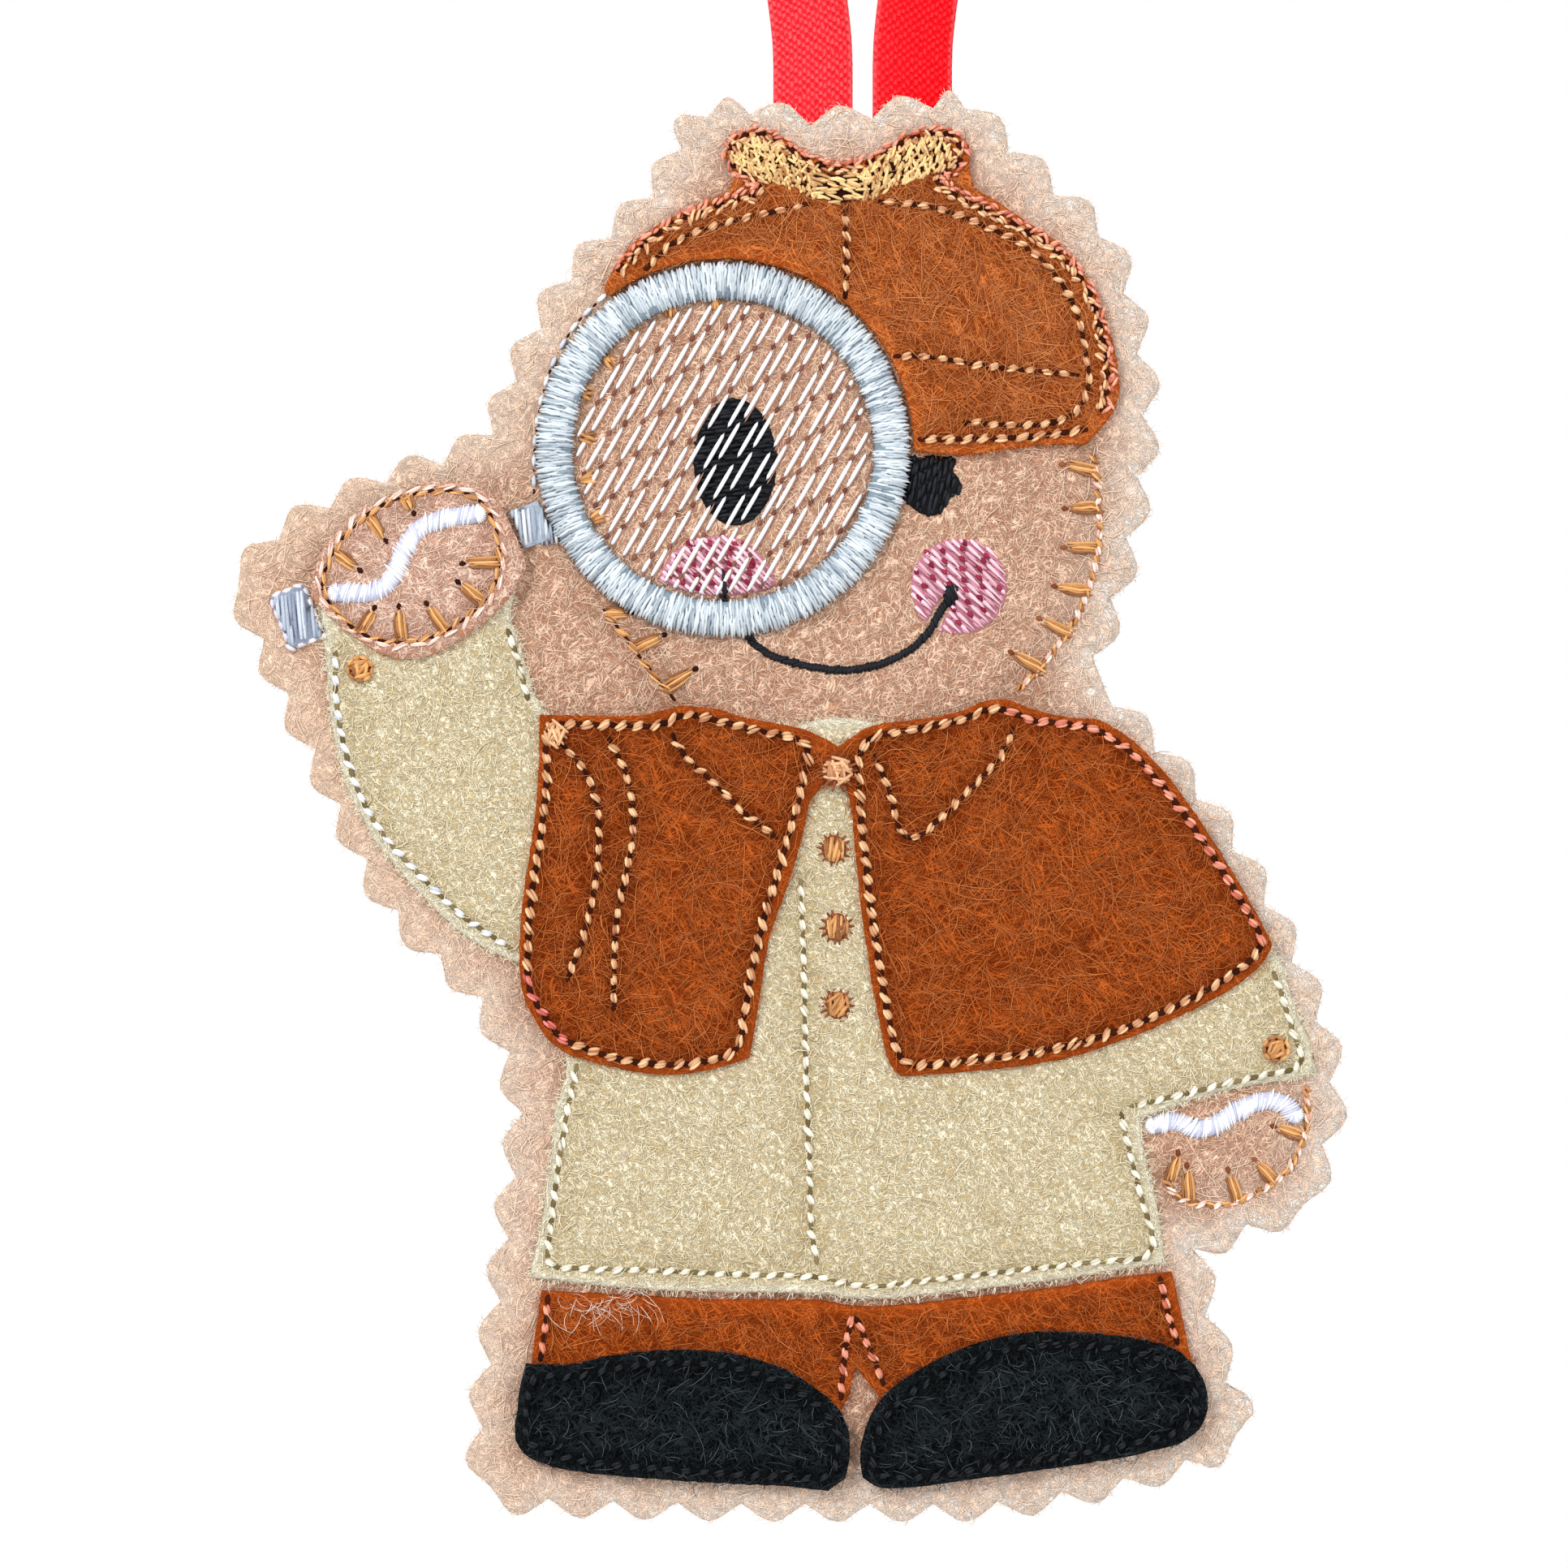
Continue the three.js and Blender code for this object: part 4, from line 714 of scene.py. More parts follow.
TAN_FIBRE = shaded_material("tan_fibre", (202, 142, 108), (255, 236, 214), 0.7, specular=0.2)
HAND_FIBRE = shaded_material("hand_fibre", (208, 142, 110), (255, 232, 212), 0.7, specular=0.2)
CREAM_FIBRE = shaded_material("cream_fibre", (220, 197, 148), (255, 250, 226), 0.7, specular=0.2)
RUST_FIBRE = shaded_material("rust_fibre", (116, 39, 3), (236, 140, 70), 0.65, specular=0.2)
HAT_FIBRE = shaded_material("hat_fibre", (142, 50, 7), (250, 166, 98), 0.65, specular=0.2)
TUFT_FIBRE = shaded_material("tuft_fibre", (216, 160, 130), (255, 236, 218), 0.7, sheen=0.05)
CHARCOAL_FIBRE = shaded_material("black_fibre", (1, 2, 3), (92, 101, 106), 0.7, specular=0.1)

GOLD = thread_material("gold", (104, 40, 8), (250, 188, 118))
BOW_GOLD = thread_material("bow_gold", (150, 74, 22), (255, 224, 158))
PALE_GOLD = thread_material("pale_gold", (158, 76, 34), (255, 212, 162))
SALMON = thread_material("salmon", (176, 60, 38), (250, 178, 148))
RED_STRAND = thread_material("red", (164, 38, 36), (242, 146, 134))
WHITE = thread_material("white", (196, 200, 214), (255, 255, 255))
# The icing's dark end is a lilac painted shade; the thread itself is white
ICING = thread_material("icing", (164, 170, 210), (255, 255, 255))
CREAM_STRAND = thread_material("cream", (198, 188, 156), (255, 252, 240))
BEAD = thread_material("pale_bead", (220, 150, 116), (255, 240, 230))
ICE = thread_material("ice", (92, 114, 132), (236, 244, 249))
PALE_ICE = thread_material("pale_ice", (122, 142, 166), (250, 253, 255))
LILAC = thread_material("lilac", (196, 188, 206), (252, 250, 255))
SLATE = thread_material("slate", (104, 118, 146), (224, 232, 242))
PINK = thread_material("pink", (164, 44, 80), (255, 220, 232))
BLACK = shaded_material("black_strands", (3, 4, 6), (24, 26, 33), roughness=0.5, specular=0.2)
BROWN_HOLE = hole_material("needle_hole_brown", (34, 10, 4), (66, 24, 10))
GREY_HOLE = hole_material("needle_hole_grey", (86, 74, 46), (140, 124, 86))
TAN_HOLE = hole_material("needle_hole_tan", (112, 54, 26), (158, 92, 58))
PINK_HOLE = hole_material("needle_hole_pink", (124, 26, 50), (168, 56, 84))
BLACK_HOLE = hole_material("needle_hole_black", (2, 2, 4), (8, 8, 10))
HATCH_SHADE = hole_material("hatch_shadow", (156, 112, 98), (190, 146, 126))
HATCH_HOLE = hole_material("hatch_hole", (104, 56, 46), (146, 96, 82))


# Seams: their stitches lie where the frame's do

SEAM_REACH = 2.2
STITCH_PITCH = 1.8
LOWEST_RIDGE = 0.06
LOWEST_STITCH = 0.25


def seam_ridge(node, base, facing=FRONT):
    """A seam's ridge points in order, as (x, z), and whether each one is a stitch or a needle hole."""
    points, _ = welded(node)
    height = facing * points[:, 1] - base
    high = height > LOWEST_RIDGE
    ridge, height = points[high][:, [0, 2]], height[high]
    left = set(range(1, len(ridge)))
    order = [0]
    for end in (-1, 0):
        while left:
            here = ridge[order[end]]
            nearest = min(left, key=lambda index: np.hypot(*(ridge[index] - here)))
            if np.hypot(*(ridge[nearest] - here)) > SEAM_REACH:
                break
            left.remove(nearest)
            order.insert(len(order) if end else 0, nearest)
    if left:
        raise ValueError(f"{node}: {len(left)} stitches aren't in its line")
    return ridge[order], height[order] > LOWEST_STITCH


# The seams that carry dashes: their routes, and the dashes' two ends
DASHED_SEAMS = {
    "face_seam_right": {
        "route_shares": [(0.776, 0.738), (0.7795, 0.715), (0.7805, 0.68), (0.7725, 0.652), (0.7558, 0.6224),
                         (0.7304, 0.5965), (0.71, 0.58)],
        "dash_shares": [((0.779, 0.73), (0.748, 0.7345)), ((0.782, 0.705), (0.75, 0.704)),
                        ((0.782, 0.6765), (0.749, 0.677)), ((0.773, 0.647), (0.741, 0.65)),
                        ((0.756, 0.6165), (0.727, 0.6275)), ((0.732, 0.591), (0.702, 0.604))],
    },
    "face_seam_left": {
        "route_shares": [(0.338, 0.633), (0.3568, 0.6139), (0.3794, 0.5903), (0.398, 0.573)],
        "dash_shares": [((0.337, 0.632), (0.361, 0.632)), ((0.363, 0.607), (0.39, 0.6162)),
                        ((0.391, 0.5796), (0.418, 0.5926))],
    },
    "lowered_hand_seam": {
        "route_shares": [(0.9665, 0.299), (0.967, 0.28), (0.962, 0.262), (0.95, 0.246), (0.935, 0.235),
                         (0.9, 0.222), (0.87, 0.2215), (0.85, 0.227), (0.842, 0.236)],
        "dash_shares": [((0.965, 0.268), (0.937, 0.2755)), ((0.938, 0.2365), (0.92, 0.252)),
                        ((0.905, 0.2225), (0.896, 0.245)), ((0.861, 0.222), (0.859, 0.248)),
                        ((0.843, 0.235), (0.851, 0.257))],
    },
    "raised_hand_seam": {
        "closed": True,
        "route_shares": [(0.0865, 0.65), (0.0975, 0.6745), (0.12, 0.695), (0.15, 0.709), (0.19, 0.7155),
                         (0.222, 0.711), (0.24, 0.6925), (0.2445, 0.667), (0.235, 0.643), (0.2, 0.62),
                         (0.165, 0.611), (0.13, 0.614), (0.103, 0.628)],
        "dash_shares": [((0.098, 0.673), (0.12, 0.6605)), ((0.128, 0.698), (0.143, 0.681)),
                        ((0.16, 0.711), (0.168, 0.7)), ((0.245, 0.666), (0.212, 0.665)),
                        ((0.23, 0.638), (0.208, 0.652)), ((0.197, 0.618), (0.18, 0.637)),
                        ((0.157, 0.612), (0.155, 0.635)), ((0.12, 0.617), (0.133, 0.634))],
    },
}


def stitched_line(route, pitch, closed):
    """Needle holes and stitches in turn along a smooth line through a route, and which ones are stitches."""
    line = smooth_line(route, 6, closed)
    around = np.vstack([line, line[:1]]) if closed else line
    length = lengths_along(around)[-1]
    points, _ = even_line(line, length / (2 * round(length / pitch)), closed)
    return points, np.arange(len(points)) % 2 == 1


def seam_line(node, base, facing, pitch):
    if node in DASHED_SEAMS:
        seam = DASHED_SEAMS[node]
        return stitched_line(all_in_frame(seam["route_shares"]), pitch, seam.get("closed", False))
    ridge, stitched = seam_ridge(node, base, facing)
    if not pitch:
        return ridge, stitched
    return stitched_line(ridge, pitch, np.hypot(*(ridge[0] - ridge[-1])) < SEAM_REACH)


class Seam:
    """A seam's stitches in order, its thread and how it was sewn. rows are the runs side by side in it: how
    far each lies to the left, whether its stitches sit where the others have their needle holes, and whether
    it is sewn with the second thread. second_where tells at which places the second thread is used."""

    def __init__(self, node, base, thread, slot, hole=BROWN_HOLE, facing=FRONT, strands=3, mess=0.07,
                 spread=0.2, reach=0.54, rise=0.27, radius=0.15, hole_width=0.3, lean=0.16,
                 rows=((0.0, False, False),), second=None, second_where=None, pitch=1.36):
        self.node = node
        self.scale = pitch / STITCH_PITCH if pitch else 1.0
        self.thread, self.slot, self.hole = thread, slot, hole
        self.strands, self.mess, self.spread = strands, mess, spread
        self.reach, self.rise, self.radius, self.hole_width = reach, rise, radius, hole_width
        self.lean, self.rows, self.second, self.second_where = lean, rows, second, second_where
        self.points, self.stitched = seam_line(node, base, facing, pitch)
        ahead = np.roll(self.points, -1, axis=0)
        if (self.points[:, 0] * ahead[:, 1] - ahead[:, 0] * self.points[:, 1]).sum() < 0:
            self.points, self.stitched = self.points[::-1], self.stitched[::-1]
        self.along = unit(np.gradient(self.points, axis=0))

    def add_lumps(self, stock, felt, centre, along, material):
        """Each stitch is a few strands side by side, and they all lean a little across the seam."""
        aside = left_of(along)
        share = np.array([-1, -0.8, -0.35, 0.35, 0.8, 1])
        taper = np.array([0.5, 0.8, 1.0, 1.0, 0.8, 0.5])
        arch = np.array([-0.6, 0.35, 1.0, 1.0, 0.35, -0.6])
        thick = self.radius * np.array([0.8, 1.05, 1.05, 0.8])
        count = len(centre)
        lean = self.lean + rng.normal(0, self.mess, count)
        # One strand of each stitch, picked at random, is much lighter than the rest: a painted highlight
        lightest = rng.integers(0, self.strands, count)
        for strand in range(self.strands):
            place = strand - (self.strands - 1) / 2
            away = self.spread * place * (1 + rng.normal(0, 0.15, count))
            reach = self.scale * self.reach * (1 + rng.normal(0, self.mess * 1.5, count))
            lift = self.rise * (1.0 + 0.3 * (place == 0)) * (1 + rng.normal(0, self.mess, count))
            step = share[None] * reach[:, None] + rng.normal(0, self.mess, (count, 1))
            side = away[:, None] * taper + lean[:, None] * share
            flat = centre[:, None] + step[..., None] * along[:, None] + side[..., None] * aside[:, None]
            shade = np.where(lightest == strand, 0.92, 0.4) + rng.normal(0, 0.2, count)
            stock.add_strands(felt, flat, lift[:, None] * arch - 0.05, thick, shade=np.clip(shade, 0, 1),
                              material=material)

    def stitch_up(self, felt):
        stock = Stock()
        for away, between_stitches, with_second in self.rows:
            chosen = self.stitched != between_stitches
            centre, along = self.points[chosen], self.along[chosen]
            changed = np.full(len(centre), with_second)
            if self.second_where:
                changed |= self.second_where(centre)
            centre = centre + away * left_of(along)
            for material, some in ((0, ~changed), (2, changed)):
                if some.any():
                    self.add_lumps(stock, felt, centre[some], along[some], material)
        # Needle holes: flat dark strands, painted shade where the thread goes into the felt
        holes, along = self.points[~self.stitched], self.along[~self.stitched]
        step = np.array([-0.62, -0.45, 0, 0.45, 0.62]) * self.scale
        thick = self.hole_width / 2 * np.array([0.8, 1.15, 0.8])
        flat = holes[:, None] + step[:, None] * along[:, None]
        stock.add_strands(felt, flat, 0.0, thick, material=1, flat=0.6)
        return stock

    def build(self, felt):
        stock = self.stitch_up(felt)
        materials = [self.thread, self.hole] + ([self.second] if self.second else [])
        if self.node in DASHED_SEAMS:
            add_dashes(stock, felt, DASHED_SEAMS[self.node]["dash_shares"], material=len(materials))
            materials.append(GOLD)
        stock.piece(f"{self.node}_thread", materials, self.slot, self.node)


DASH_WIDTH = 1.0
DASH_STRANDS = 5


def add_dashes(stock, felt, dash_shares, material):
    """Short tufts of gold strands, wide at the seam and drawn together in a needle hole at the far end."""
    share = np.array([0, 0.12, 0.35, 0.65, 0.88, 1])
    fan = np.array([0.8, 1.0, 1.0, 0.9, 0.75, 0.55])
    for start, end in map(all_in_frame, dash_shares):
        along = unit(end - start)
        aside = left_of(along)
        paths = []
        for strand in range(DASH_STRANDS):
            place = (strand + 0.5) / DASH_STRANDS - 0.5
            away = DASH_WIDTH * place * fan + rng.normal(0, 0.035, 6)
            near = start + along * rng.uniform(-0.35, 0.25)
            far = end - along * rng.uniform(0, 0.45)
            flat = near + away[:, None] * aside + share[:, None] * (far - near)
            high = 0.26 * (1 - 1.2 * place ** 2)
            paths.append(felt.surface(flat, np.array([-0.15, 0.5, 1.0, 1.0, 0.5, -0.5]) * high))
        # Each dash's strands take set shades: a bright one as a painted highlight and a dark outer one as
        # painted shade
        shade = np.array([0.7, 0.3, 1.0, 0.35, 0.0]) + rng.normal(0, 0.1, DASH_STRANDS)
        stock.add_tubes(paths, [0.1, 0.13, 0.12, 0.075], material=material, shade=np.clip(shade, 0, 1))
        # The needle hole at the dash's far end, dark with painted shade
        hole = end + np.array([-0.3, -0.15, 0.05, 0.25, 0.35])[:, None] * along
        stock.add_strand(felt, hole, 0.0, [0.14, 0.24, 0.16], material=1)


# Satin

# Shares of a stitch: how far the first row's breaks are shifted, how far each row's are from the last row's,
# and the shortest bit
FIRST_SHIFT = 0.2
ROW_SHIFT = 0.37
SHORTEST_BIT = 0.2


def filled_rows(loops, angle, spacing, stitch, seed=0, wander=0.05):
    """Stitches in parallel rows across loops, as pairs of ends. Each row's breaks are shifted from the
    last row's."""
    source = np.random.default_rng(seed)
    way = way_at(angle)
    aside = left_of(way)
    corners = np.vstack(loops)
    offsets = np.arange((corners @ aside).min() + spacing / 2, (corners @ aside).max(), spacing)
    ends = []
    segments = segments_of(loops)
    start, end = segments[:, :2], segments[:, 2:]
    for row, offset in enumerate(offsets):
        a, b = start @ aside - offset, end @ aside - offset
        crossing = (a > 0) != (b > 0)
        share = a[crossing] / (a[crossing] - b[crossing])
        hits = np.sort((start[crossing] + share[:, None] * (end - start)[crossing]) @ way)
        for low, high in zip(hits[::2], hits[1::2]):
            shift = stitch * ((row * ROW_SHIFT + FIRST_SHIFT) % 1)
            breaks = np.arange(low - shift, high, stitch)[1:]
            shortest = stitch * SHORTEST_BIT
            breaks = breaks[(breaks > low + shortest) & (breaks < high - shortest)]
            places = np.concatenate([[low], breaks, [high]])
            for first, last in zip(places, places[1:]):
                jitter = source.normal(0, wander, 3)
                middle = aside * (offset + jitter[0])
                ends.append((way * (first + jitter[1]) + middle, way * (last + jitter[2]) + middle))
    return np.array(ends)


def between(ends, share):
    """The places at those shares of the way between the two ends of each stitch."""
    return ends[:, :1] + np.array(share)[:, None] * (ends[:, 1:] - ends[:, :1])


def add_rows(stock, ends, felt, above, radius, dip=0.12, material=0, shade=None, taper=(0.8, 1, 1, 0.8)):
    """Lays each stitch as a strand that dips at its ends. above is a height or a function of place."""
    places = between(ends, [0, 0.1, 0.35, 0.65, 0.9, 1])
    height = above(places.reshape(-1, 2)) if callable(above) else np.full(places[..., 0].size, above)
    height = height.reshape(-1, 6) - np.array([1, 0.3, 0, 0, 0.3, 1]) * dip
    stock.add_strands(felt, places, height, radius * np.array(taper), shade=shade, material=material)


def add_holes(stock, plane, places, way, shares, above, radii):
    """Small needle holes, dark with painted shade, along a way, in the stock's second material. above is a
    function of place.
    """
    flat = places[:, None] + np.array(shares)[:, None] * way
    height = above(flat.reshape(-1, 2)).reshape(flat.shape[:2])
    stock.add_strands(plane, flat, height, radii, material=1)


def satin_line(route, width, spacing, slant=0.0, seed=0):
    """Strands across a line, as pairs of ends. slant is how far each one leans along it."""
    source = np.random.default_rng(seed)
    points, along = even_line(route, spacing)
    aside = left_of(along)
    half = width / 2 * (1 + source.normal(0, 0.14, (len(points), 2, 1)))
    lean = along * slant
    return np.stack([points - aside * half[:, 0] - lean, points + aside * half[:, 1] + lean], axis=1)


FAN_ANGLE = 1.4


def round_ends(route, width, spacing):
    """Strands that fan out round both ends of a satin line, as pairs of ends."""
    fans = []
    for end, before in ((route[0], route[2]), (route[-1], route[-3])):
        out = unit(end - before)
        heading = math.atan2(out[1], out[0])
        turns = heading + np.linspace(-FAN_ANGLE, FAN_ANGLE, max(3, round(FAN_ANGLE * width / spacing)))
        ways = ways_at(turns) * width / 2
        fans.append(np.stack([end - 0.35 * ways, end + ways], axis=1))
    return fans


def ellipse(centre, half_width, half_height, steps=48):
    turn = 2 * np.pi * np.arange(steps) / steps
    return centre + np.stack([half_width * np.cos(turn), half_height * np.sin(turn)], axis=1)


class Plane:
    """A flat face to lay embroidery on, at a distance from the middle of the stack."""

    def __init__(self, level):
        self.level = level

    def surface(self, points, above=0.0):
        y = np.broadcast_to(FRONT * (self.level + np.asarray(above, float)), len(points))
        return np.stack([points[:, 0], y, points[:, 1]], axis=1)


def add_rings(stock, rings, closed=False, shade=0.5):
    """Joins rings of points into a closed body. Its ends are filled, unless the last ring joins the first."""
    rings = np.asarray(rings, float)
    amount, count = rings.shape[:2]
    here = np.arange(count)
    after = (here + 1) % count
    points = rings.reshape(-1, 3)
    faces = []
    for ring in range(amount if closed else amount - 1):
        low, high = ring * count, (ring + 1) % amount * count
        faces.extend(np.stack([low + here, low + after, high + after, high + here], axis=1).tolist())
    if not closed:
        points = np.vstack([points, rings[0].mean(axis=0), rings[-1].mean(axis=0)])
        first, last = amount * count, (amount - 1) * count
        faces.extend(np.stack([np.full(count, first), after, here], axis=1).tolist())
        faces.extend(np.stack([np.full(count, first + 1), last + here, last + after], axis=1).tolist())
    volume = sum(
        np.dot(points[face[0]], np.cross(points[b], points[c]))
        for face in faces for b, c in zip(face[1:], face[2:])
    )
    if volume < 0:
        faces = [face[::-1] for face in faces]
    stock.add(points, faces, shade)


def add_plate(stock, loop, plane, low, high, material=0, shade=0.1):
    """A flat filled shape between two heights: the core under satin."""
    count = len(loop)
    edges = [(index, (index + 1) % count) for index in range(count)]
    triangles = triangulated(loop, edges, [loop])
    faces = triangles + [[index + count for index in reversed(face)] for face in triangles]
    for (a, b), left in zip(edges, felt_on_left(loop, edges, [loop])):
        faces.append(oriented([a, b, b + count, a + count], left))
    points = np.vstack([plane.surface(loop, high), plane.surface(loop, low)])
    stock.add(points, faces, shade, material)


def mounded(loops, low, high, width):
    """Heights that rise from low at the loops to high further in."""
    border = segments_of(loops)

    def height(points):
        return low + (high - low) * (1 - np.exp(-(distance_to(points, border) / width) ** 2))
    return height


# Seams and felts

def upper_right_of(share):
    x, z = in_frame(share)
    return lambda places: (places[:, 0] > x) & (places[:, 1] > z)


def lower_left_of(share):
    x, z = in_frame(share)
    return lambda places: (places[:, 0] < x) & (places[:, 1] < z)


LENS_STITCH = {"strands": 3, "spread": 0.15, "reach": 0.52, "radius": 0.115, "rise": 0.25, "hole_width": 0.48,
               "lean": 0.12}
EDGE_STITCH = {"strands": 3, "spread": 0.19, "reach": 0.58, "radius": 0.125, "rise": 0.28, "hole_width": 0.52,
               "lean": 0.18, "mess": 0.09}
TANGLED_STITCH = {"strands": 2, "spread": 0.18, "reach": 0.4, "radius": 0.12, "rise": 0.3, "hole_width": 0.6,
                  "lean": 0.06, "mess": 0.2}
SMALL_BEAD = {"strands": 2, "spread": 0.2, "reach": 0.5, "radius": 0.12, "rise": 0.22, "hole_width": 0.4,
              "mess": 0.1}
WHITE_BEAD = {"strands": 2, "spread": 0.2, "reach": 0.56, "radius": 0.14, "rise": 0.26, "hole_width": 0.42}
ROPE = {"strands": 3, "spread": 0.16, "reach": 0.78, "radius": 0.095, "rise": 0.22, "hole_width": 0.34,
        "lean": 0.16, "mess": 0.12}
TANGLED_ROWS = ((-0.5, False, False), (-0.34, True, False), (0.1, False, True), (0.38, True, True))
BEAD_ROW = (0.0, False, False)
GOLD_BETWEEN = (0.0, True, True)
GOLD_ROW = (0.1, False, False)
BEADS_OUTSIDE = (-0.3, True, True)
BEADS_AND_GOLD = {"hole": TAN_HOLE, "second": GOLD, "rows": (BEAD_ROW, GOLD_BETWEEN), **SMALL_BEAD}


def alike_seams(names, base, thread, slot, **how):
    return [Seam(name, base, thread, slot, **how) for name in names]


FRONT_SEAMS = [
    Seam("face_seam_right", BASE_TOP, BEAD, "white_thread", **BEADS_AND_GOLD),
    Seam("face_seam_left", BASE_TOP, GOLD, "gold_thread", **ROPE),
    Seam("lowered_hand_seam", BASE_TOP, BEAD, "white_thread", **BEADS_AND_GOLD),
]
HAT_SEAMS = [
    Seam("hat_outline_seam", GARMENT_TOP, SALMON, "salmon_thread", second=PALE_GOLD, rows=TANGLED_ROWS,
         **TANGLED_STITCH),
    *alike_seams(["hat_inner_seam_left", "hat_inner_seam_right", "hat_panel_seam", "hat_brim_seam"],
                 GARMENT_TOP, PALE_GOLD, "pale_gold_thread", **LENS_STITCH),
    Seam("hat_edge_seam", GARMENT_TOP, PALE_GOLD, "pale_gold_thread", **EDGE_STITCH),
]
COAT_SEAMS = [
    Seam("left_sleeve_outer_seam", GARMENT_TOP, WHITE, "white_thread", hole=GREY_HOLE, **WHITE_BEAD),
    *alike_seams(["left_sleeve_inner_seam", "coat_placket_seam", "coat_edge_seam", "right_sleeve_seam"],
                 GARMENT_TOP, CREAM_STRAND, "white_thread", hole=GREY_HOLE, **WHITE_BEAD),
]
TROUSERS_SEAMS = alike_seams(["trousers_left_seam", "trousers_right_seam", "trousers_split_seam"],
                             GARMENT_TOP, SALMON, "salmon_thread", **LENS_STITCH)
CAPE_SEAMS = [
    Seam("cape_left_edge_seam", OVERLAY_TOP, PALE_GOLD, "pale_gold_thread", second=RED_STRAND,
         second_where=lower_left_of((0.31, 0.38)), **EDGE_STITCH),
    Seam("cape_right_edge_seam", OVERLAY_TOP, PALE_GOLD, "pale_gold_thread", second=SALMON,
         second_where=upper_right_of((0.7, 0.405)), **EDGE_STITCH),
    *alike_seams(["collar_left_seam", "collar_right_seam", "cape_outer_fold_seam", "cape_inner_fold_seam"],
                 OVERLAY_TOP, PALE_GOLD, "pale_gold_thread", **LENS_STITCH),
]
LEFT_SHOE_SEAM, RIGHT_SHOE_SEAM = alike_seams(["left_shoe_seam", "right_shoe_seam"], OVERLAY_TOP, BLACK,
                                              "black_thread", hole=BLACK_HOLE, **WHITE_BEAD)
RAISED_HAND_SEAM = Seam("raised_hand_seam", OVERLAY_TOP, GOLD, "gold_thread", second=BEAD,
                        rows=(GOLD_ROW, BEADS_OUTSIDE), strands=2, spread=0.15, reach=0.8, radius=0.095,
                        rise=0.18, hole_width=0.3, mess=0.1)
BACK_SEAM_LEVEL = 1.0
BACK_SEAM = Seam("back_outline_seam", BACK_SEAM_LEVEL, WHITE, "white_thread", hole=TAN_HOLE, facing=BACK,
                 strands=2, spread=0.12, reach=1.35, pitch=None)

BASE = (BASE_BACK, BASE_TOP)
GARMENT = (BASE_TOP, GARMENT_TOP)
OVERLAY = (GARMENT_TOP, OVERLAY_TOP)
FRONT_FELT = Felt("front_felt", *BASE, FRONT_SEAMS, seed=11, swell=0.05, edge=0.5, lip_width=3.2)
HAT_FELT = Felt("hat_felt", *GARMENT, HAT_SEAMS, seed=23, valley_width=0.6)
COAT_FELT = Felt("coat_felt", *GARMENT, COAT_SEAMS, seed=31, edge=0.6)
TROUSERS_FELT = Felt("trousers_felt", *GARMENT, TROUSERS_SEAMS, seed=41)
CAPE_FELT = Felt("cape_felt", *OVERLAY, CAPE_SEAMS, seed=53, edge=0.6, swell=0.2)
LEFT_SHOE_FELT = Felt("left_shoe_felt", *OVERLAY, [LEFT_SHOE_SEAM], seed=61, edge=0.7)
RIGHT_SHOE_FELT = Felt("right_shoe_felt", *OVERLAY, [RIGHT_SHOE_SEAM], seed=71, edge=0.7)
RAISED_HAND_FELT = Felt("raised_hand_felt", *OVERLAY, [RAISED_HAND_SEAM], seed=83, edge=0.6)
BACK_FELT = Felt("back_felt", *BASE, [BACK_SEAM], seams_close=True, facing=BACK, seed=97, edge=0.5, swell=0.0,
                 valley=0.42, valley_width=0.6)


# The ribbon

RIBBON_THICKNESS = 0.3
RIBBON_STEPS = 8
LEG_OFFSET = 3.975
FLAT_TOP_SHARE = 0.35
LOOP_ROUTE = [(0, 0.15), (5.1, -0.9), (9.3, -3.8), (12.1, -8.1), (13.2, -13.2), (13.1, -18.6), (12.3, -24.2),
              (11.1, -30), (9.7, -36), (8.2, -42), (6.8, -48), (5.6, -54), (4.6, -59.5), (4.1, -63.5),
              (LEG_OFFSET, -66)]
LEG_TOP = -66.2
LOOP_END = -72.0
TAIL_TOP = -71.8
TAIL_END = -79.5


def straight_leg(x, top, end, step):
    """A straight line down from top to end, at that x."""
    heights = np.arange(top, end - 0.01, -step)
    return np.stack([np.full(len(heights), x), heights], axis=1)


def ribbon_line():
    """The loop's centreline from the left leg's end, over the top, to the right leg's end."""
    mirrored = [(-x, z) for x, z in LOOP_ROUTE[:0:-1]]
    left = straight_leg(-LEG_OFFSET, LEG_TOP, LOOP_END, 0.2)
    return np.vstack([left[::-1], smooth_line(mirrored + LOOP_ROUTE, 12), left * (-1, 1)])


def strip(stock, line, turns):
    """Adds a ribbon along a line of (x, z) points, turned by those angles about it. It gives back where each
    point lies across the ribbon and along it."""
    along = unit(np.gradient(line, axis=0))
    lengths = lengths_along(line)
    width = np.linspace(-0.5, 0.5, RIBBON_STEPS + 1) * RIBBON_WIDTH
    section = [(u, RIBBON_THICKNESS / 2) for u in width] + [(u, -RIBBON_THICKNESS / 2) for u in width[::-1]]
    rings = []
    for point, way, turn in zip(line, along, turns):
        tangent = np.array([way[0], 0, way[1]])
        outward = np.array([-way[1], 0, way[0]])
        face = outward * math.cos(turn) + np.array([0, math.sin(turn), 0])
        across = np.cross(tangent, face)
        middle = np.array([point[0], 0, point[1]])
        rings.append([middle + across * u + face * v for u, v in section])
    add_rings(stock, rings, shade=0.0)
    places = [(u + RIBBON_WIDTH / 2, length) for length in lengths for u, v in section]
    places += [(RIBBON_WIDTH / 2, length) for length in (lengths[0], lengths[-1])]
    across, along = zip(*places)
    return {"across": across, "along": along}


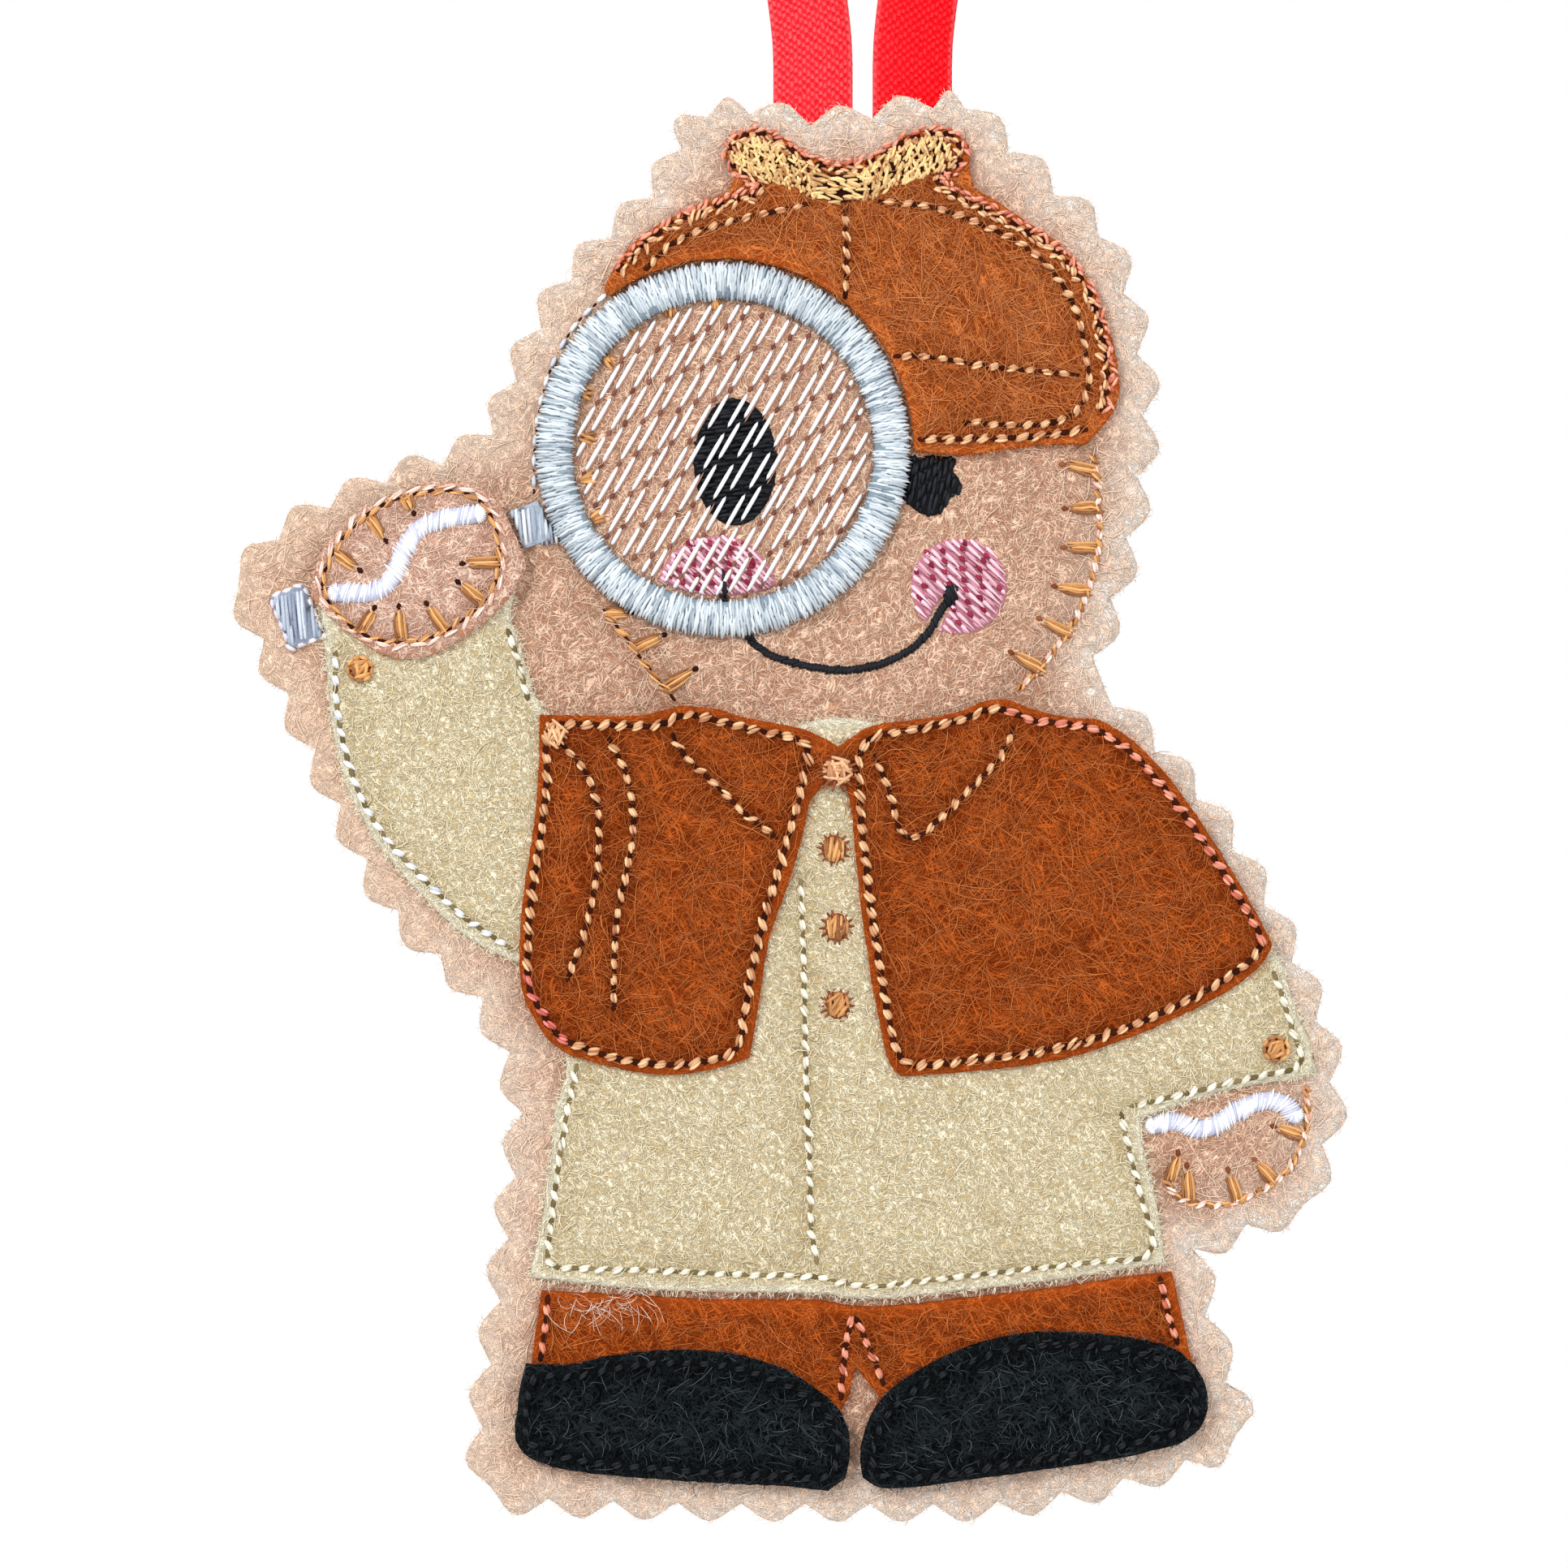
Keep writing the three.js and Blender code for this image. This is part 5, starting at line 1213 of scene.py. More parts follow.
def build_loop():
    """The hanging loop: flat over its top, and turned to face the front at both legs."""
    line = ribbon_line()
    lengths = lengths_along(line)
    loop_length = lengths[-1] - 2 * (LOOP_ROUTE[-1][1] - LOOP_END)
    from_top = (lengths - lengths[-1] / 2) / (loop_length / 2)
    share = np.clip((np.abs(from_top) - FLAT_TOP_SHARE) / (1 - FLAT_TOP_SHARE), 0, 1)
    turns = np.sign(from_top) * share ** 2 * (3 - 2 * share) * math.pi / 2
    stock = Stock()
    notes = strip(stock, line, turns)
    notes["shade"] = 1 / (1 + np.exp(np.clip(np.vstack(stock.points)[:, 0] / 1.5, -30, 30)))
    piece = stock.piece("ribbon_loop_weave", [RED_RIBBON], "red_ribbon", "ribbon_loop", body=None,
                        notes=notes)
    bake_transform(piece)


def build_ribbon():
    build_loop()
    for x, node in ((-LEG_OFFSET, "ribbon_tail_left"), (LEG_OFFSET, "ribbon_tail_right")):
        stock = Stock()
        line = straight_leg(x, TAIL_TOP, TAIL_END, 1.01)
        notes = strip(stock, line, np.full(len(line), math.pi / 2))
        stock.piece(f"{node}_weave", [RED_RIBBON], "red_ribbon", node, notes=notes)


# Embroidery

RIM_CREST = 1.6
RIM_CORE = 1.3
RIM_CORE_INSET = 0.15
RIM_CORE_STEPS = 96
RIM_STRANDS = 400
RIM_OVERLAP = 0.12


def build_rim():
    """A raised ring: a core under strands in two parts, which overlap at a place of each strand's own."""
    centre = in_frame(RIM_CENTRE_SHARE)
    middle, half = (RIM_RADIUS + LENS_RADIUS) / 2, (RIM_RADIUS - LENS_RADIUS) / 2
    plane = Plane(BASE_TOP)
    stock = Stock()
    around = ways_at(2 * np.pi * np.arange(RIM_CORE_STEPS) / RIM_CORE_STEPS)
    rings = []
    for across in np.linspace(0, np.pi, 9):
        radius = middle + (half - RIM_CORE_INSET) * math.cos(across)
        rings.append(plane.surface(centre + around * radius, RIM_CORE * math.sqrt(math.sin(across))))
    # The core takes the ice thread's darkest colour: painted shade where it shows between the strands
    add_rings(stock, rings, closed=True, shade=0.0)
    count = RIM_STRANDS
    turn = 2 * np.pi * (np.arange(count) + rng.uniform(-0.25, 0.25, count)) / count
    outer = RIM_RADIUS + rng.normal(0.2, 0.08, count)
    inner = LENS_RADIUS - rng.normal(0.05, 0.12, count)
    split = rng.uniform(0.25, 0.75, count)
    for start, end in ((np.zeros(count), split + RIM_OVERLAP), (split - RIM_OVERLAP, np.ones(count))):
        share = start[:, None] + (end - start)[:, None] * np.linspace(0, 1, 7)
        radius = outer[:, None] + (inner - outer)[:, None] * share
        angle = turn[:, None] + rng.normal(0, 0.006, (count, 1)) * (share - 0.5)
        angle = angle + rng.normal(0, 0.003, (count, 7))
        height = (RIM_CREST - 0.2) * np.sqrt(np.sin(np.pi * np.clip(share, 0.004, 0.996)))
        height += rng.normal(0, 0.05, (count, 1)) - np.array([0.12, 0.03, 0, 0, 0, 0.03, 0.12])
        shade = np.clip(rng.normal(0.72, 0.26, count), 0, 1)
        stock.add_strands(plane, centre + radius[..., None] * ways_at(angle), height,
                          [0.09, 0.125, 0.135, 0.125, 0.09], shade=shade)
    stock.piece("magnifier_rim_satin", [ICE], "ice_thread", "magnifier_rim")


STRAND_ANGLE = 1.66
# Where the strands over the ferrule's joint lie: the x share, then the two ends' z shares
FERRULE_JOINT = [(0.2815, 0.676, 0.706), (0.286, 0.675, 0.7), (0.2905, 0.677, 0.696), (0.295, 0.678, 0.692),
                 (0.2995, 0.68, 0.69)]


def handle_stock(node, plane):
    """A part of the handle: a core under long strands. Also its outline."""
    loops = rear_outlines(node)
    stock = Stock()
    # The core is dark: painted shade where it shows between the strands
    add_plate(stock, loops[0], plane, 0.0, 0.5, shade=0.15)
    ends = filled_rows(loops, STRAND_ANGLE, 0.32, 9.0, seed=3, wander=0.06)
    add_rows(stock, ends, plane, 0.6, 0.16, dip=0.45)
    return stock, loops[0]


def build_handle():
    """The ferrule between the rim and the hand, and the cap beyond the hand with small lumps round it."""
    plane = Plane(BASE_TOP)
    stock, _ = handle_stock("magnifier_ferrule", plane)
    for x_share, low, high in FERRULE_JOINT:
        flat = np.linspace(in_frame((x_share, low)), in_frame((x_share - 0.002, high)), 6)
        stock.add_strand(plane, flat, np.array([-0.1, 0.3, 0.45, 0.5, 0.45, 0.1]), [0.12, 0.14, 0.14, 0.12])
    stock.piece("magnifier_ferrule_satin", [PALE_ICE, LILAC], "ice_thread", "magnifier_ferrule")
    stock, outline = handle_stock("magnifier_handle_cap", plane)
    for place, way in zip(*even_line(outline, 0.95, closed=True)):
        flat = place + np.array([-0.45, -0.36, -0.15, 0.15, 0.36, 0.45])[:, None] * way
        above = np.array([-0.1, 0.2, 0.34, 0.34, 0.2, -0.1])
        stock.add_strand(plane, flat, above, [0.15, 0.22, 0.22, 0.15], material=1)
    stock.piece("magnifier_handle_cap_satin", [SLATE, LILAC], "ice_thread", "magnifier_handle_cap")


HATCH_ANGLE = math.radians(60)
HATCH_PAIR = 1.99
HATCH_NARROW = 0.75
HATCH_STITCH = 3.4
HATCH_PITCH = 3.85
HATCH_FIRST_OFFSET = -6.6
HATCH_FIRST_START = -0.98
HATCH_PAIR_START = 2.17
HATCH_SECOND_START = 1.3


def build_hatch():
    """White running stitches in pairs of slanted lines, with a needle hole in each gap between two."""
    centre = in_frame(RIM_CENTRE_SHARE)
    way = way_at(HATCH_ANGLE)
    aside = -left_of(way)
    reach = LENS_RADIUS - 0.2
    gap = HATCH_PITCH - HATCH_STITCH
    ends, holes = [], []
    for pair in range(-5, 12):
        for second in (0, 1):
            offset = HATCH_FIRST_OFFSET + pair * HATCH_PAIR + second * HATCH_NARROW
            if abs(offset) > reach - 0.3:
                continue
            half = math.sqrt(reach ** 2 - offset ** 2)
            first = HATCH_FIRST_START + pair * HATCH_PAIR_START + second * HATCH_SECOND_START
            first -= HATCH_PITCH * math.ceil((first + half) / HATCH_PITCH)
            for low in np.arange(first, half, HATCH_PITCH):
                start, end = max(low, -half), min(low + HATCH_STITCH + rng.normal(0, 0.1), half)
                middle = centre + aside * (offset + rng.normal(0, 0.05))
                if end - start > 0.5:
                    ends.append((middle + way * start, middle + way * end))
                if -half < low - gap / 2 < half:
                    holes.append(middle + way * (low - gap / 2))
    height = glass_height()
    eye = rear_outlines("magnified_eye")
    plane = Plane(BASE_TOP)
    stock = Stock()
    ends, holes = np.array(ends), np.array(holes)
    add_rows(stock, ends, plane, height, 0.165, dip=0.05, shade=rng.uniform(0.75, 1, len(ends)))
    # Thin dark strands beside each stitch and over its gaps: a painted shadow
    beside = ends[~inside(ends.mean(axis=1), eye)] + aside * 0.2
    beside = beside + np.array([-0.35, 0.35])[:, None] * way
    add_rows(stock, beside, plane, lambda places: height(places) - 0.09, 0.075, dip=0.0, material=2)
    add_holes(stock, plane, holes[~inside(holes, eye)], way, [-0.3, -0.2, 0, 0.2, 0.3],
              lambda places: height(places) - 0.13, [0.13, 0.19, 0.13])
    stock.piece("lens_hatch_thread", [WHITE, HATCH_HOLE, HATCH_SHADE], "white_thread", "lens_hatch")


def glass_height():
    """How high the glass's threads lie: low on the felt, higher over the eye and the cheek."""
    eye_loops, cheek_loops = rear_outlines("magnified_eye"), rear_outlines("magnified_cheek")
    eye, cheek = mounded(eye_loops, 0.0, 0.3, 0.5), mounded(cheek_loops, 0.0, 0.3, 0.5)

    def height(points):
        return 0.22 + eye(points) * inside(points, eye_loops) + cheek(points) * inside(points, cheek_loops)
    return height


def build_eye(node, loops, angle, spacing, stitch, radius, wander, seed, high=0.3):
    """A filled black shape: a low core under rows of strands."""
    plane = Plane(BASE_TOP)
    stock = Stock()
    for loop in loops:
        add_plate(stock, loop, plane, -0.1, high - 0.16, shade=0.05)
    ends = filled_rows(loops, angle, spacing, stitch, seed=seed, wander=wander)
    add_rows(stock, ends, plane, mounded(loops, 0.06, high - 0.1, 0.7), radius, dip=0.14)
    stock.piece(f"{node}_satin", [BLACK], "black_thread", node)


OPEN_EYE_SHARES = [(0.604, 0.7375), (0.649, 0.7395), (0.6495, 0.73), (0.654, 0.7255), (0.656, 0.721),
                   (0.654, 0.7155), (0.647, 0.711), (0.643, 0.706), (0.638, 0.7012), (0.631, 0.699),
                   (0.6215, 0.7005), (0.611, 0.706), (0.604, 0.7155)]
CHEEK_ANGLE = -0.78


def build_cheek(node, seed):
    """Pink strands in slanted rows, each thick at its upper end and thin at the other, over darker ones."""
    way = way_at(CHEEK_ANGLE)
    loops = rear_outlines(node)
    plane, height = Plane(BASE_TOP), mounded(loops, 0.14, 0.27, 0.7)
    stock = Stock()
    for loop in loops:
        # The plate is dark pink: painted shade where it shows between the strands
        add_plate(stock, loop, plane, -0.1, 0.12, shade=0.15)
    under = filled_rows(loops, CHEEK_ANGLE + 0.12, 0.3, 1.2, seed=seed + 10, wander=0.1)
    add_rows(stock, under, plane, height, 0.11, dip=0.16, shade=rng.uniform(0.1, 0.45, len(under)))
    ends = filled_rows(loops, CHEEK_ANGLE, 0.52, 2.1, seed=seed, wander=0.07)
    shade = np.clip(rng.normal(0.85, 0.16, len(ends)), 0, 1)
    add_rows(stock, ends, plane, lambda places: height(places) + 0.1, 0.17, dip=0.14, shade=shade,
             taper=(0.9, 1, 0.5, 0.35))
    holes = ends[:, 0] - 0.3 * way
    add_holes(stock, plane, holes[inside(holes, loops)], way, [-0.34, -0.22, 0, 0.22, 0.34],
              lambda places: height(places) + 0.06, [0.14, 0.21, 0.14])
    stock.piece(f"{node}_satin", [PINK, PINK_HOLE], "pink_thread", node)


CORE_INSET = 0.1
CORE_DEPTH = 0.12


def build_band(node, route_shares, width, spacing, slant, high, material, slot, plane):
    """A satin band: strands laid across a line over a low core."""
    route = smooth_line(all_in_frame(route_shares), 10)
    stock = Stock()
    points, along = even_line(route, 0.6)
    turns = np.linspace(0, np.pi, 7)
    core_reach = width / 2 - CORE_INSET
    rings = [
        plane.surface(point + np.outer(np.cos(turns), side) * core_reach, np.sin(turns) * (high - CORE_DEPTH))
        for point, side in zip(points, left_of(along))
    ]
    # The core is dark: painted shade where it shows between the strands
    add_rings(stock, rings, shade=0.15)
    across = satin_line(route, width, spacing, slant, seed=8)
    ends = np.concatenate([across, *round_ends(route, width, spacing)])
    arch = np.array([-0.05, 0.3, 0.92, 0.92, 0.3, -0.05]) * high
    above = arch + rng.normal(0, 0.03, len(ends))[:, None]
    shade = np.clip(rng.normal(0.78, 0.25, len(ends)), 0, 1)
    stock.add_strands(plane, between(ends, [0, 0.08, 0.3, 0.7, 0.92, 1]), above - 0.1,
                      np.array([0.4, 0.55, 0.55, 0.4]) * spacing, shade=shade)
    stock.piece(f"{node}_satin", [material], slot, node)


SMILE_SHARES = [(0.462, 0.622), (0.473, 0.609), (0.497, 0.599), (0.547, 0.592), (0.589, 0.5976),
                (0.622, 0.6134), (0.645, 0.6415)]
SMILE_END_SHARE = (0.6475, 0.6445)
RAISED_ICING_SHARES = [(0.1, 0.645), (0.13, 0.645), (0.148, 0.654), (0.16, 0.675), (0.175, 0.69),
                       (0.2, 0.6965), (0.224, 0.699)]
LOWERED_ICING_SHARES = [(0.829, 0.2765), (0.848, 0.279), (0.866, 0.274), (0.883, 0.276), (0.903, 0.286),
                        (0.925, 0.293), (0.944, 0.292), (0.955, 0.284)]


def build_smile_end(plane):
    """The thick end of the smile on the cheek."""
    stock = Stock()
    add_heap(stock, plane, in_frame(SMILE_END_SHARE), (1.2, 2.1), 2.1, 0.25, 8, 0.42)
    stock.piece("smile_end", [BLACK], "black_thread")


def add_heap(stock, plane, centre, size, angle, spread, amount, high, radius=0.14):
    """Strands heaped over an oval. Each crosses it at about the angle, and dips at both ends."""
    share = np.array([-1, -0.85, -0.35, 0.35, 0.85, 1])
    arch = np.array([-0.1, 0.4, 1.0, 1.0, 0.4, -0.1])
    for strand in range(amount):
        way = way_at(angle + spread * rng.uniform(-1, 1))
        aside = left_of(way)
        away = 0.85 * ((strand + 0.5) / amount * 2 - 1) + rng.normal(0, 0.06)
        reach = math.sqrt(max(0.1, 1 - away ** 2))
        flat = centre + np.array(size) / 2 * (aside * away + way * (share * reach)[:, None])
        above = arch * high * (0.5 + 0.5 * reach) + rng.uniform(0, 0.08)
        stock.add_strand(plane, flat, above, [radius * 0.8, radius, radius, radius * 0.8])


def build_button(node, level, size, rays, heaps, thread=GOLD):
    """A gold button: dark thin tufts that point out of it, or else a ring, and strands heaped over its
    middle."""
    points, _ = welded(node)
    centre = (points.min(axis=0) + points.max(axis=0))[[0, 2]] / 2
    plane = Plane(level)
    stock = Stock()
    # The plate is dark brown: painted shade where it shows between the strands
    add_plate(stock, ellipse(centre, size[0] * 0.46, size[1] * 0.46, 20), plane, -0.1, 0.2, material=1)
    if rays:
        out = ways_at(2 * np.pi * (np.arange(rays) + rng.uniform(-0.2, 0.2, rays)) / rays)
        share = np.array([0.4, 0.5, 0.8, 1.15, 1.3]) * max(size) / 2
        flat = centre + share[None, :, None] * out[:, None]
        stock.add_strands(plane, flat, [0.2, 0.22, 0.14, 0.04, -0.08], [0.14, 0.12, 0.09], material=1)
    else:
        for start in np.arange(9) / 9 + rng.uniform(-0.02, 0.02, 9):
            turn = 2 * np.pi * (start + np.linspace(0, 0.15, 6))
            flat = centre + np.stack([np.cos(turn) * size[0], np.sin(turn) * size[1]], axis=1) * 0.42
            above = np.array([0.0, 0.25, 0.4, 0.4, 0.25, 0.0])
            stock.add_strand(plane, flat, above, [0.12, 0.16, 0.16, 0.12])
    for angle, spread, amount, high, share in heaps:
        add_heap(stock, plane, centre, np.array(size) * share, angle, spread, amount, high)
    stock.piece(f"{node}_satin", [thread, TAN_HOLE], "gold_thread", node)


KNOT_SHARE = (0.294, 0.5475)
KNOT_SIZE = np.array([2.2, 2.5])
KNOT_STRANDS = 5


def build_knot():
    """The crossed strands where the collar's and the fold's seams start, at the cape's upper left corner."""
    stock = Stock()
    for angle, spread, high, share in ((-0.9, 0.3, 0.35, 1.0), (0.6, 0.5, 0.45, 0.8), (1.7, 0.6, 0.55, 0.8)):
        add_heap(stock, Plane(OVERLAY_TOP), in_frame(KNOT_SHARE), KNOT_SIZE * share, angle, spread,
                 KNOT_STRANDS, high, radius=0.12)
    stock.piece("cape_corner_knot", [PALE_GOLD], "pale_gold_thread")


BOW_OVERHANG = 0.4
BOW_KNOT_SHARES = (0.526, 0.568)
# The rows that fill the bow's right loop, its left loop and its knot: angle, spacing and seed
RIGHT_BOW_ROWS = ((1.3, 0.3, 1), (0.7, 0.5, 2), (1.95, 0.5, 6))
LEFT_BOW_ROWS = ((1.9, 0.3, 3), (0.9, 0.5, 4), (2.6, 0.5, 7))
BOW_KNOT_ROWS = ((0.06, 0.38, 5), (-0.35, 0.38, 8))


def build_bow():
    """Two loops and a knot, each filled with short gold strands laid its own way."""
    outline = rear_outlines("hat_bow")[0]
    plane = Plane(GARMENT_TOP)
    stock = Stock()
    # The plate is dark brown: painted shade where it shows between the strands
    add_plate(stock, outline, plane, -0.1, 0.2, material=1)
    left_x, right_x = (in_frame((share, 0))[0] for share in BOW_KNOT_SHARES)
    aside = left_of(unit(np.roll(outline, -1, axis=0) - np.roll(outline, 1, axis=0))) * BOW_OVERHANG
    wide = outline + aside * (-1 if inside(outline[:1] + aside[:1] * 0.1, [outline])[0] else 1)
    rows = []

    def fill(loop, settings, stitch, wander, low_x, high_x):
        for angle, spacing, seed in settings:
            ends = filled_rows([loop], angle, spacing, stitch, seed=seed, wander=wander)
            middle = ends[:, :, 0].mean(axis=1)
            rows.append(ends[(middle > low_x) & (middle < high_x)])

    fill(wide, RIGHT_BOW_ROWS, 0.85, 0.17, right_x, math.inf)
    fill(wide, LEFT_BOW_ROWS, 0.85, 0.17, -math.inf, left_x)
    fill(outline, BOW_KNOT_ROWS, 1.2, 0.14, left_x - 0.4, right_x + 0.4)
    rows = np.concatenate(rows)
    shade = np.clip(rng.normal(0.62, 0.34, len(rows)), 0, 1)
    add_rows(stock, rows, plane, mounded([wide], 0.14, 0.5, 0.9), 0.125, dip=0.2, shade=shade)
    stock.piece("hat_bow_satin", [BOW_GOLD, BROWN_HOLE], "gold_thread", "hat_bow")


GOLD_CRUMB_SHARES = [(0.396, 0.841), (0.361, 0.828), (0.342, 0.806), (0.323, 0.784), (0.322, 0.753),
                     (0.322, 0.725), (0.332, 0.698), (0.4375, 0.8475)]
RIM_SEAM_SHARES = [(0.335, 0.85), (0.312, 0.832), (0.293, 0.808), (0.281, 0.78), (0.275, 0.75),
                   (0.274, 0.716)]
# Each black stitch's ends, and how high it lies at its tips and at its middle
BLACK_STITCHES = [((0.443, 0.666), (0.4455, 0.64), 0.2, 0.5), ((0.439, 0.645), (0.45, 0.636), 0.2, 0.5),
                  ((0.464, 0.629), (0.467, 0.61), 0.1, 0.5)]


def build_gold_crumbs(plane):
    """Stray dashes of gold that point at the rim."""
    centre = in_frame(RIM_CENTRE_SHARE)
    stock = Stock()
    for place in all_in_frame(GOLD_CRUMB_SHARES):
        way = unit(centre - place)
        aside = left_of(way)
        for strand in range(4):
            start = place - way * 0.7 + aside * rng.normal(0, 0.2)
            end = place + way * rng.uniform(0.35, 0.75) + aside * (strand - 1.5) * 0.3
            flat = start + np.array([0, 0.12, 0.35, 0.65, 0.88, 1])[:, None] * (end - start)
            stock.add_strand(plane, flat, np.array([0, 0.2, 0.3, 0.3, 0.15, -0.1]), [0.12, 0.15, 0.15, 0.12])
    stock.piece("rim_gold_stitches", [GOLD], "gold_thread")


def build_rim_seam(plane):
    """A white seam that hugs the rim: a stitch, then a needle hole, in turn."""
    points, along = even_line(smooth_line(all_in_frame(RIM_SEAM_SHARES), 8), 0.8)
    stock = Stock()
    for lump in range(0, len(points), 2):
        flat = points[lump] + np.array([-0.5, -0.4, -0.2, 0.2, 0.4, 0.5])[:, None] * along[lump]
        stock.add_strand(plane, flat, np.array([-0.1, 0.1, 0.2, 0.2, 0.1, -0.1]), [0.12, 0.2, 0.2, 0.12])
    # Needle holes between the stitches, dark with painted shade
    for hole in range(1, len(points), 2):
        flat = points[hole] + np.array([-0.3, -0.2, 0, 0.2, 0.3])[:, None] * along[hole]
        stock.add_strand(plane, flat, -0.06, [0.12, 0.17, 0.12], material=1)
    stock.piece("rim_side_stitches", [WHITE, BROWN_HOLE], "white_thread")


def build_smile_start(plane):
    """Black stitches at the thin end of the smile."""
    stock = Stock()
    for start_share, end_share, low, high in BLACK_STITCHES:
        flat = np.linspace(in_frame(start_share), in_frame(end_share), 6)
        above = np.array([0.2, 0.8, 1.0, 1.0, 0.8, 0.2]) * (high - low) + low
        stock.add_strand(plane, flat, above, [0.1, 0.15, 0.2, 0.2])
    stock.piece("smile_start_stitches", [BLACK], "black_thread")


# Loose wool fibres

FIBRE_LIFT = 0.07
EDGE_FIBRE_RADIUS = 0.03


def add_fibres(stock, felt, density, length, keep, radius, curl, pale, seed):
    """Fibres that lie on a felt, each with its own curl. Neighbours point roughly the same way."""
    places = felt.random_places(density)
    source = np.random.default_rng(seed)
    count = len(places)
    heading = 2.0 * waves(places, 14, seed + 3) + source.normal(0, 0.8, count)
    bend = source.normal(0, curl, count)
    lengths = length * source.lognormal(0, 0.45, count)
    angle = heading[:, None] + bend[:, None] * np.linspace(-0.5, 0.5, 5)
    step = ways_at(angle) * (lengths / 4)[:, None, None]
    flat = places[:, None] + np.cumsum(step, axis=1) - step.sum(axis=1, keepdims=True) / 2
    lies_free = np.ones(count, bool)
    for point in (0, 2, 4):
        lies_free &= inside(flat[:, point], felt.loops)
        if keep:
            lies_free &= keep(flat[:, point])
    flat, count = flat[lies_free], lies_free.sum()
    arch = source.gamma(2.0, FIBRE_LIFT / 2, count)[:, None] * np.array([-0.3, 0.9, 1.2, 0.9, -0.2])
    thick = radius * source.uniform(0.7, 1.25, count)[:, None] * np.array([0.9, 1.0, 0.9])
    near_edge = np.exp(-(distance_to(flat[:, 2], segments_of(felt.loops)) / felt.lip_width) ** 2)
    shade = source.beta(1.8, 1.9, count) + pale * near_edge
    stock.add_strands(felt, flat, arch, thick, sides=3, shade=np.clip(shade, 0, 1))


def add_edge_fibres(stock, felt, density, length, pale, seed):
    """Short fibres that stand out of a felt's cut edge."""
    source = np.random.default_rng(seed)
    share = np.linspace(0, 1, 5)
    for loop in felt.loops:
        fine = rounded_loop(loop, 0.4)
        size = np.linalg.norm(np.roll(fine, -1, axis=0) - fine, axis=1)
        count = int(size.sum() * density)
        place = np.sort(source.uniform(0, size.sum(), count))
        around = np.vstack([fine, fine[:1]])
        ends = lengths_along(around)
        flat = np.stack([np.interp(place, ends, around[:, axis]) for axis in (0, 1)], axis=1)
        further = (place + 0.3) % ends[-1]
        ahead = np.stack([np.interp(further, ends, around[:, axis]) for axis in (0, 1)], axis=1)
        along = unit(ahead - flat)
        aside = left_of(along)
        aside *= np.where(inside(flat + aside * 0.05, felt.loops), -1, 1)[:, None]
        turn = source.normal(0, 0.75, count)
        bend = source.normal(0, 1.3, count)
        lengths = length * source.lognormal(0, 0.35, count)
        angle = turn[:, None] + bend[:, None] * share
        way = np.cos(angle)[..., None] * aside[:, None] + np.sin(angle)[..., None] * along[:, None]
        steps = way * (lengths / 4)[:, None, None]
        line = flat[:, None] - aside[:, None] * 0.12 + np.cumsum(steps, axis=1) - steps[:, :1]
        depth = felt.inner + source.uniform(0.08, 0.92, count) * (felt.outer - felt.inner)
        drift = np.clip(source.normal(0, 0.12, count), -0.25, 0.25)
        y = felt.facing * (depth[:, None] + drift[:, None] * share)
        paths = np.stack([line[..., 0], y, line[..., 1]], axis=-1)
        thick = EDGE_FIBRE_RADIUS * source.uniform(0.7, 1.2, count)[:, None] * np.array([1.0, 0.95, 0.75])
        stock.add_tubes(paths, thick, sides=3, shade=np.clip(source.beta(2, 2, count) + pale, 0, 1))


def bare(*covers, embroidered=()):
    """Keeps the places that no other felt, none of the embroidery named and no rim covers."""
    centre = in_frame(RIM_CENTRE_SHARE)
    outlines = [cover.loops for cover in covers] + [rear_outlines(node) for node in embroidered]

    def keep(places):
        kept = np.ones(len(places), bool)
        for loops in outlines:
            kept &= ~inside(places, loops)
        from_centre = np.linalg.norm(places - centre, axis=1)
        return kept & ((from_centre > RIM_RADIUS + 0.2) | (from_centre < LENS_RADIUS - 0.3))
    return keep


def build_felt(felt, wool, fibre, slot, spacing, rests_on, density, length, keep=None, edge_density=3.0,
               edge_length=0.55, radius=0.034, curl=1.5, pale=0.0, seed=0):
    """A felt, and the loose fibres on its face and round its edge. density is how many lie on a square
    millimetre, keep tells where they may lie, and pale is how much lighter they are at the edge."""
    stock = Stock()
    add_fibres(stock, felt, density, length, keep, radius, curl, pale, seed)
    add_edge_fibres(stock, felt, edge_density, edge_length, pale, seed + 1)
    fibres = stock.piece(f"{felt.node}_fibres", [fibre], slot)
    felt.build(wool, slot, spacing, [rests_on], [fibres])


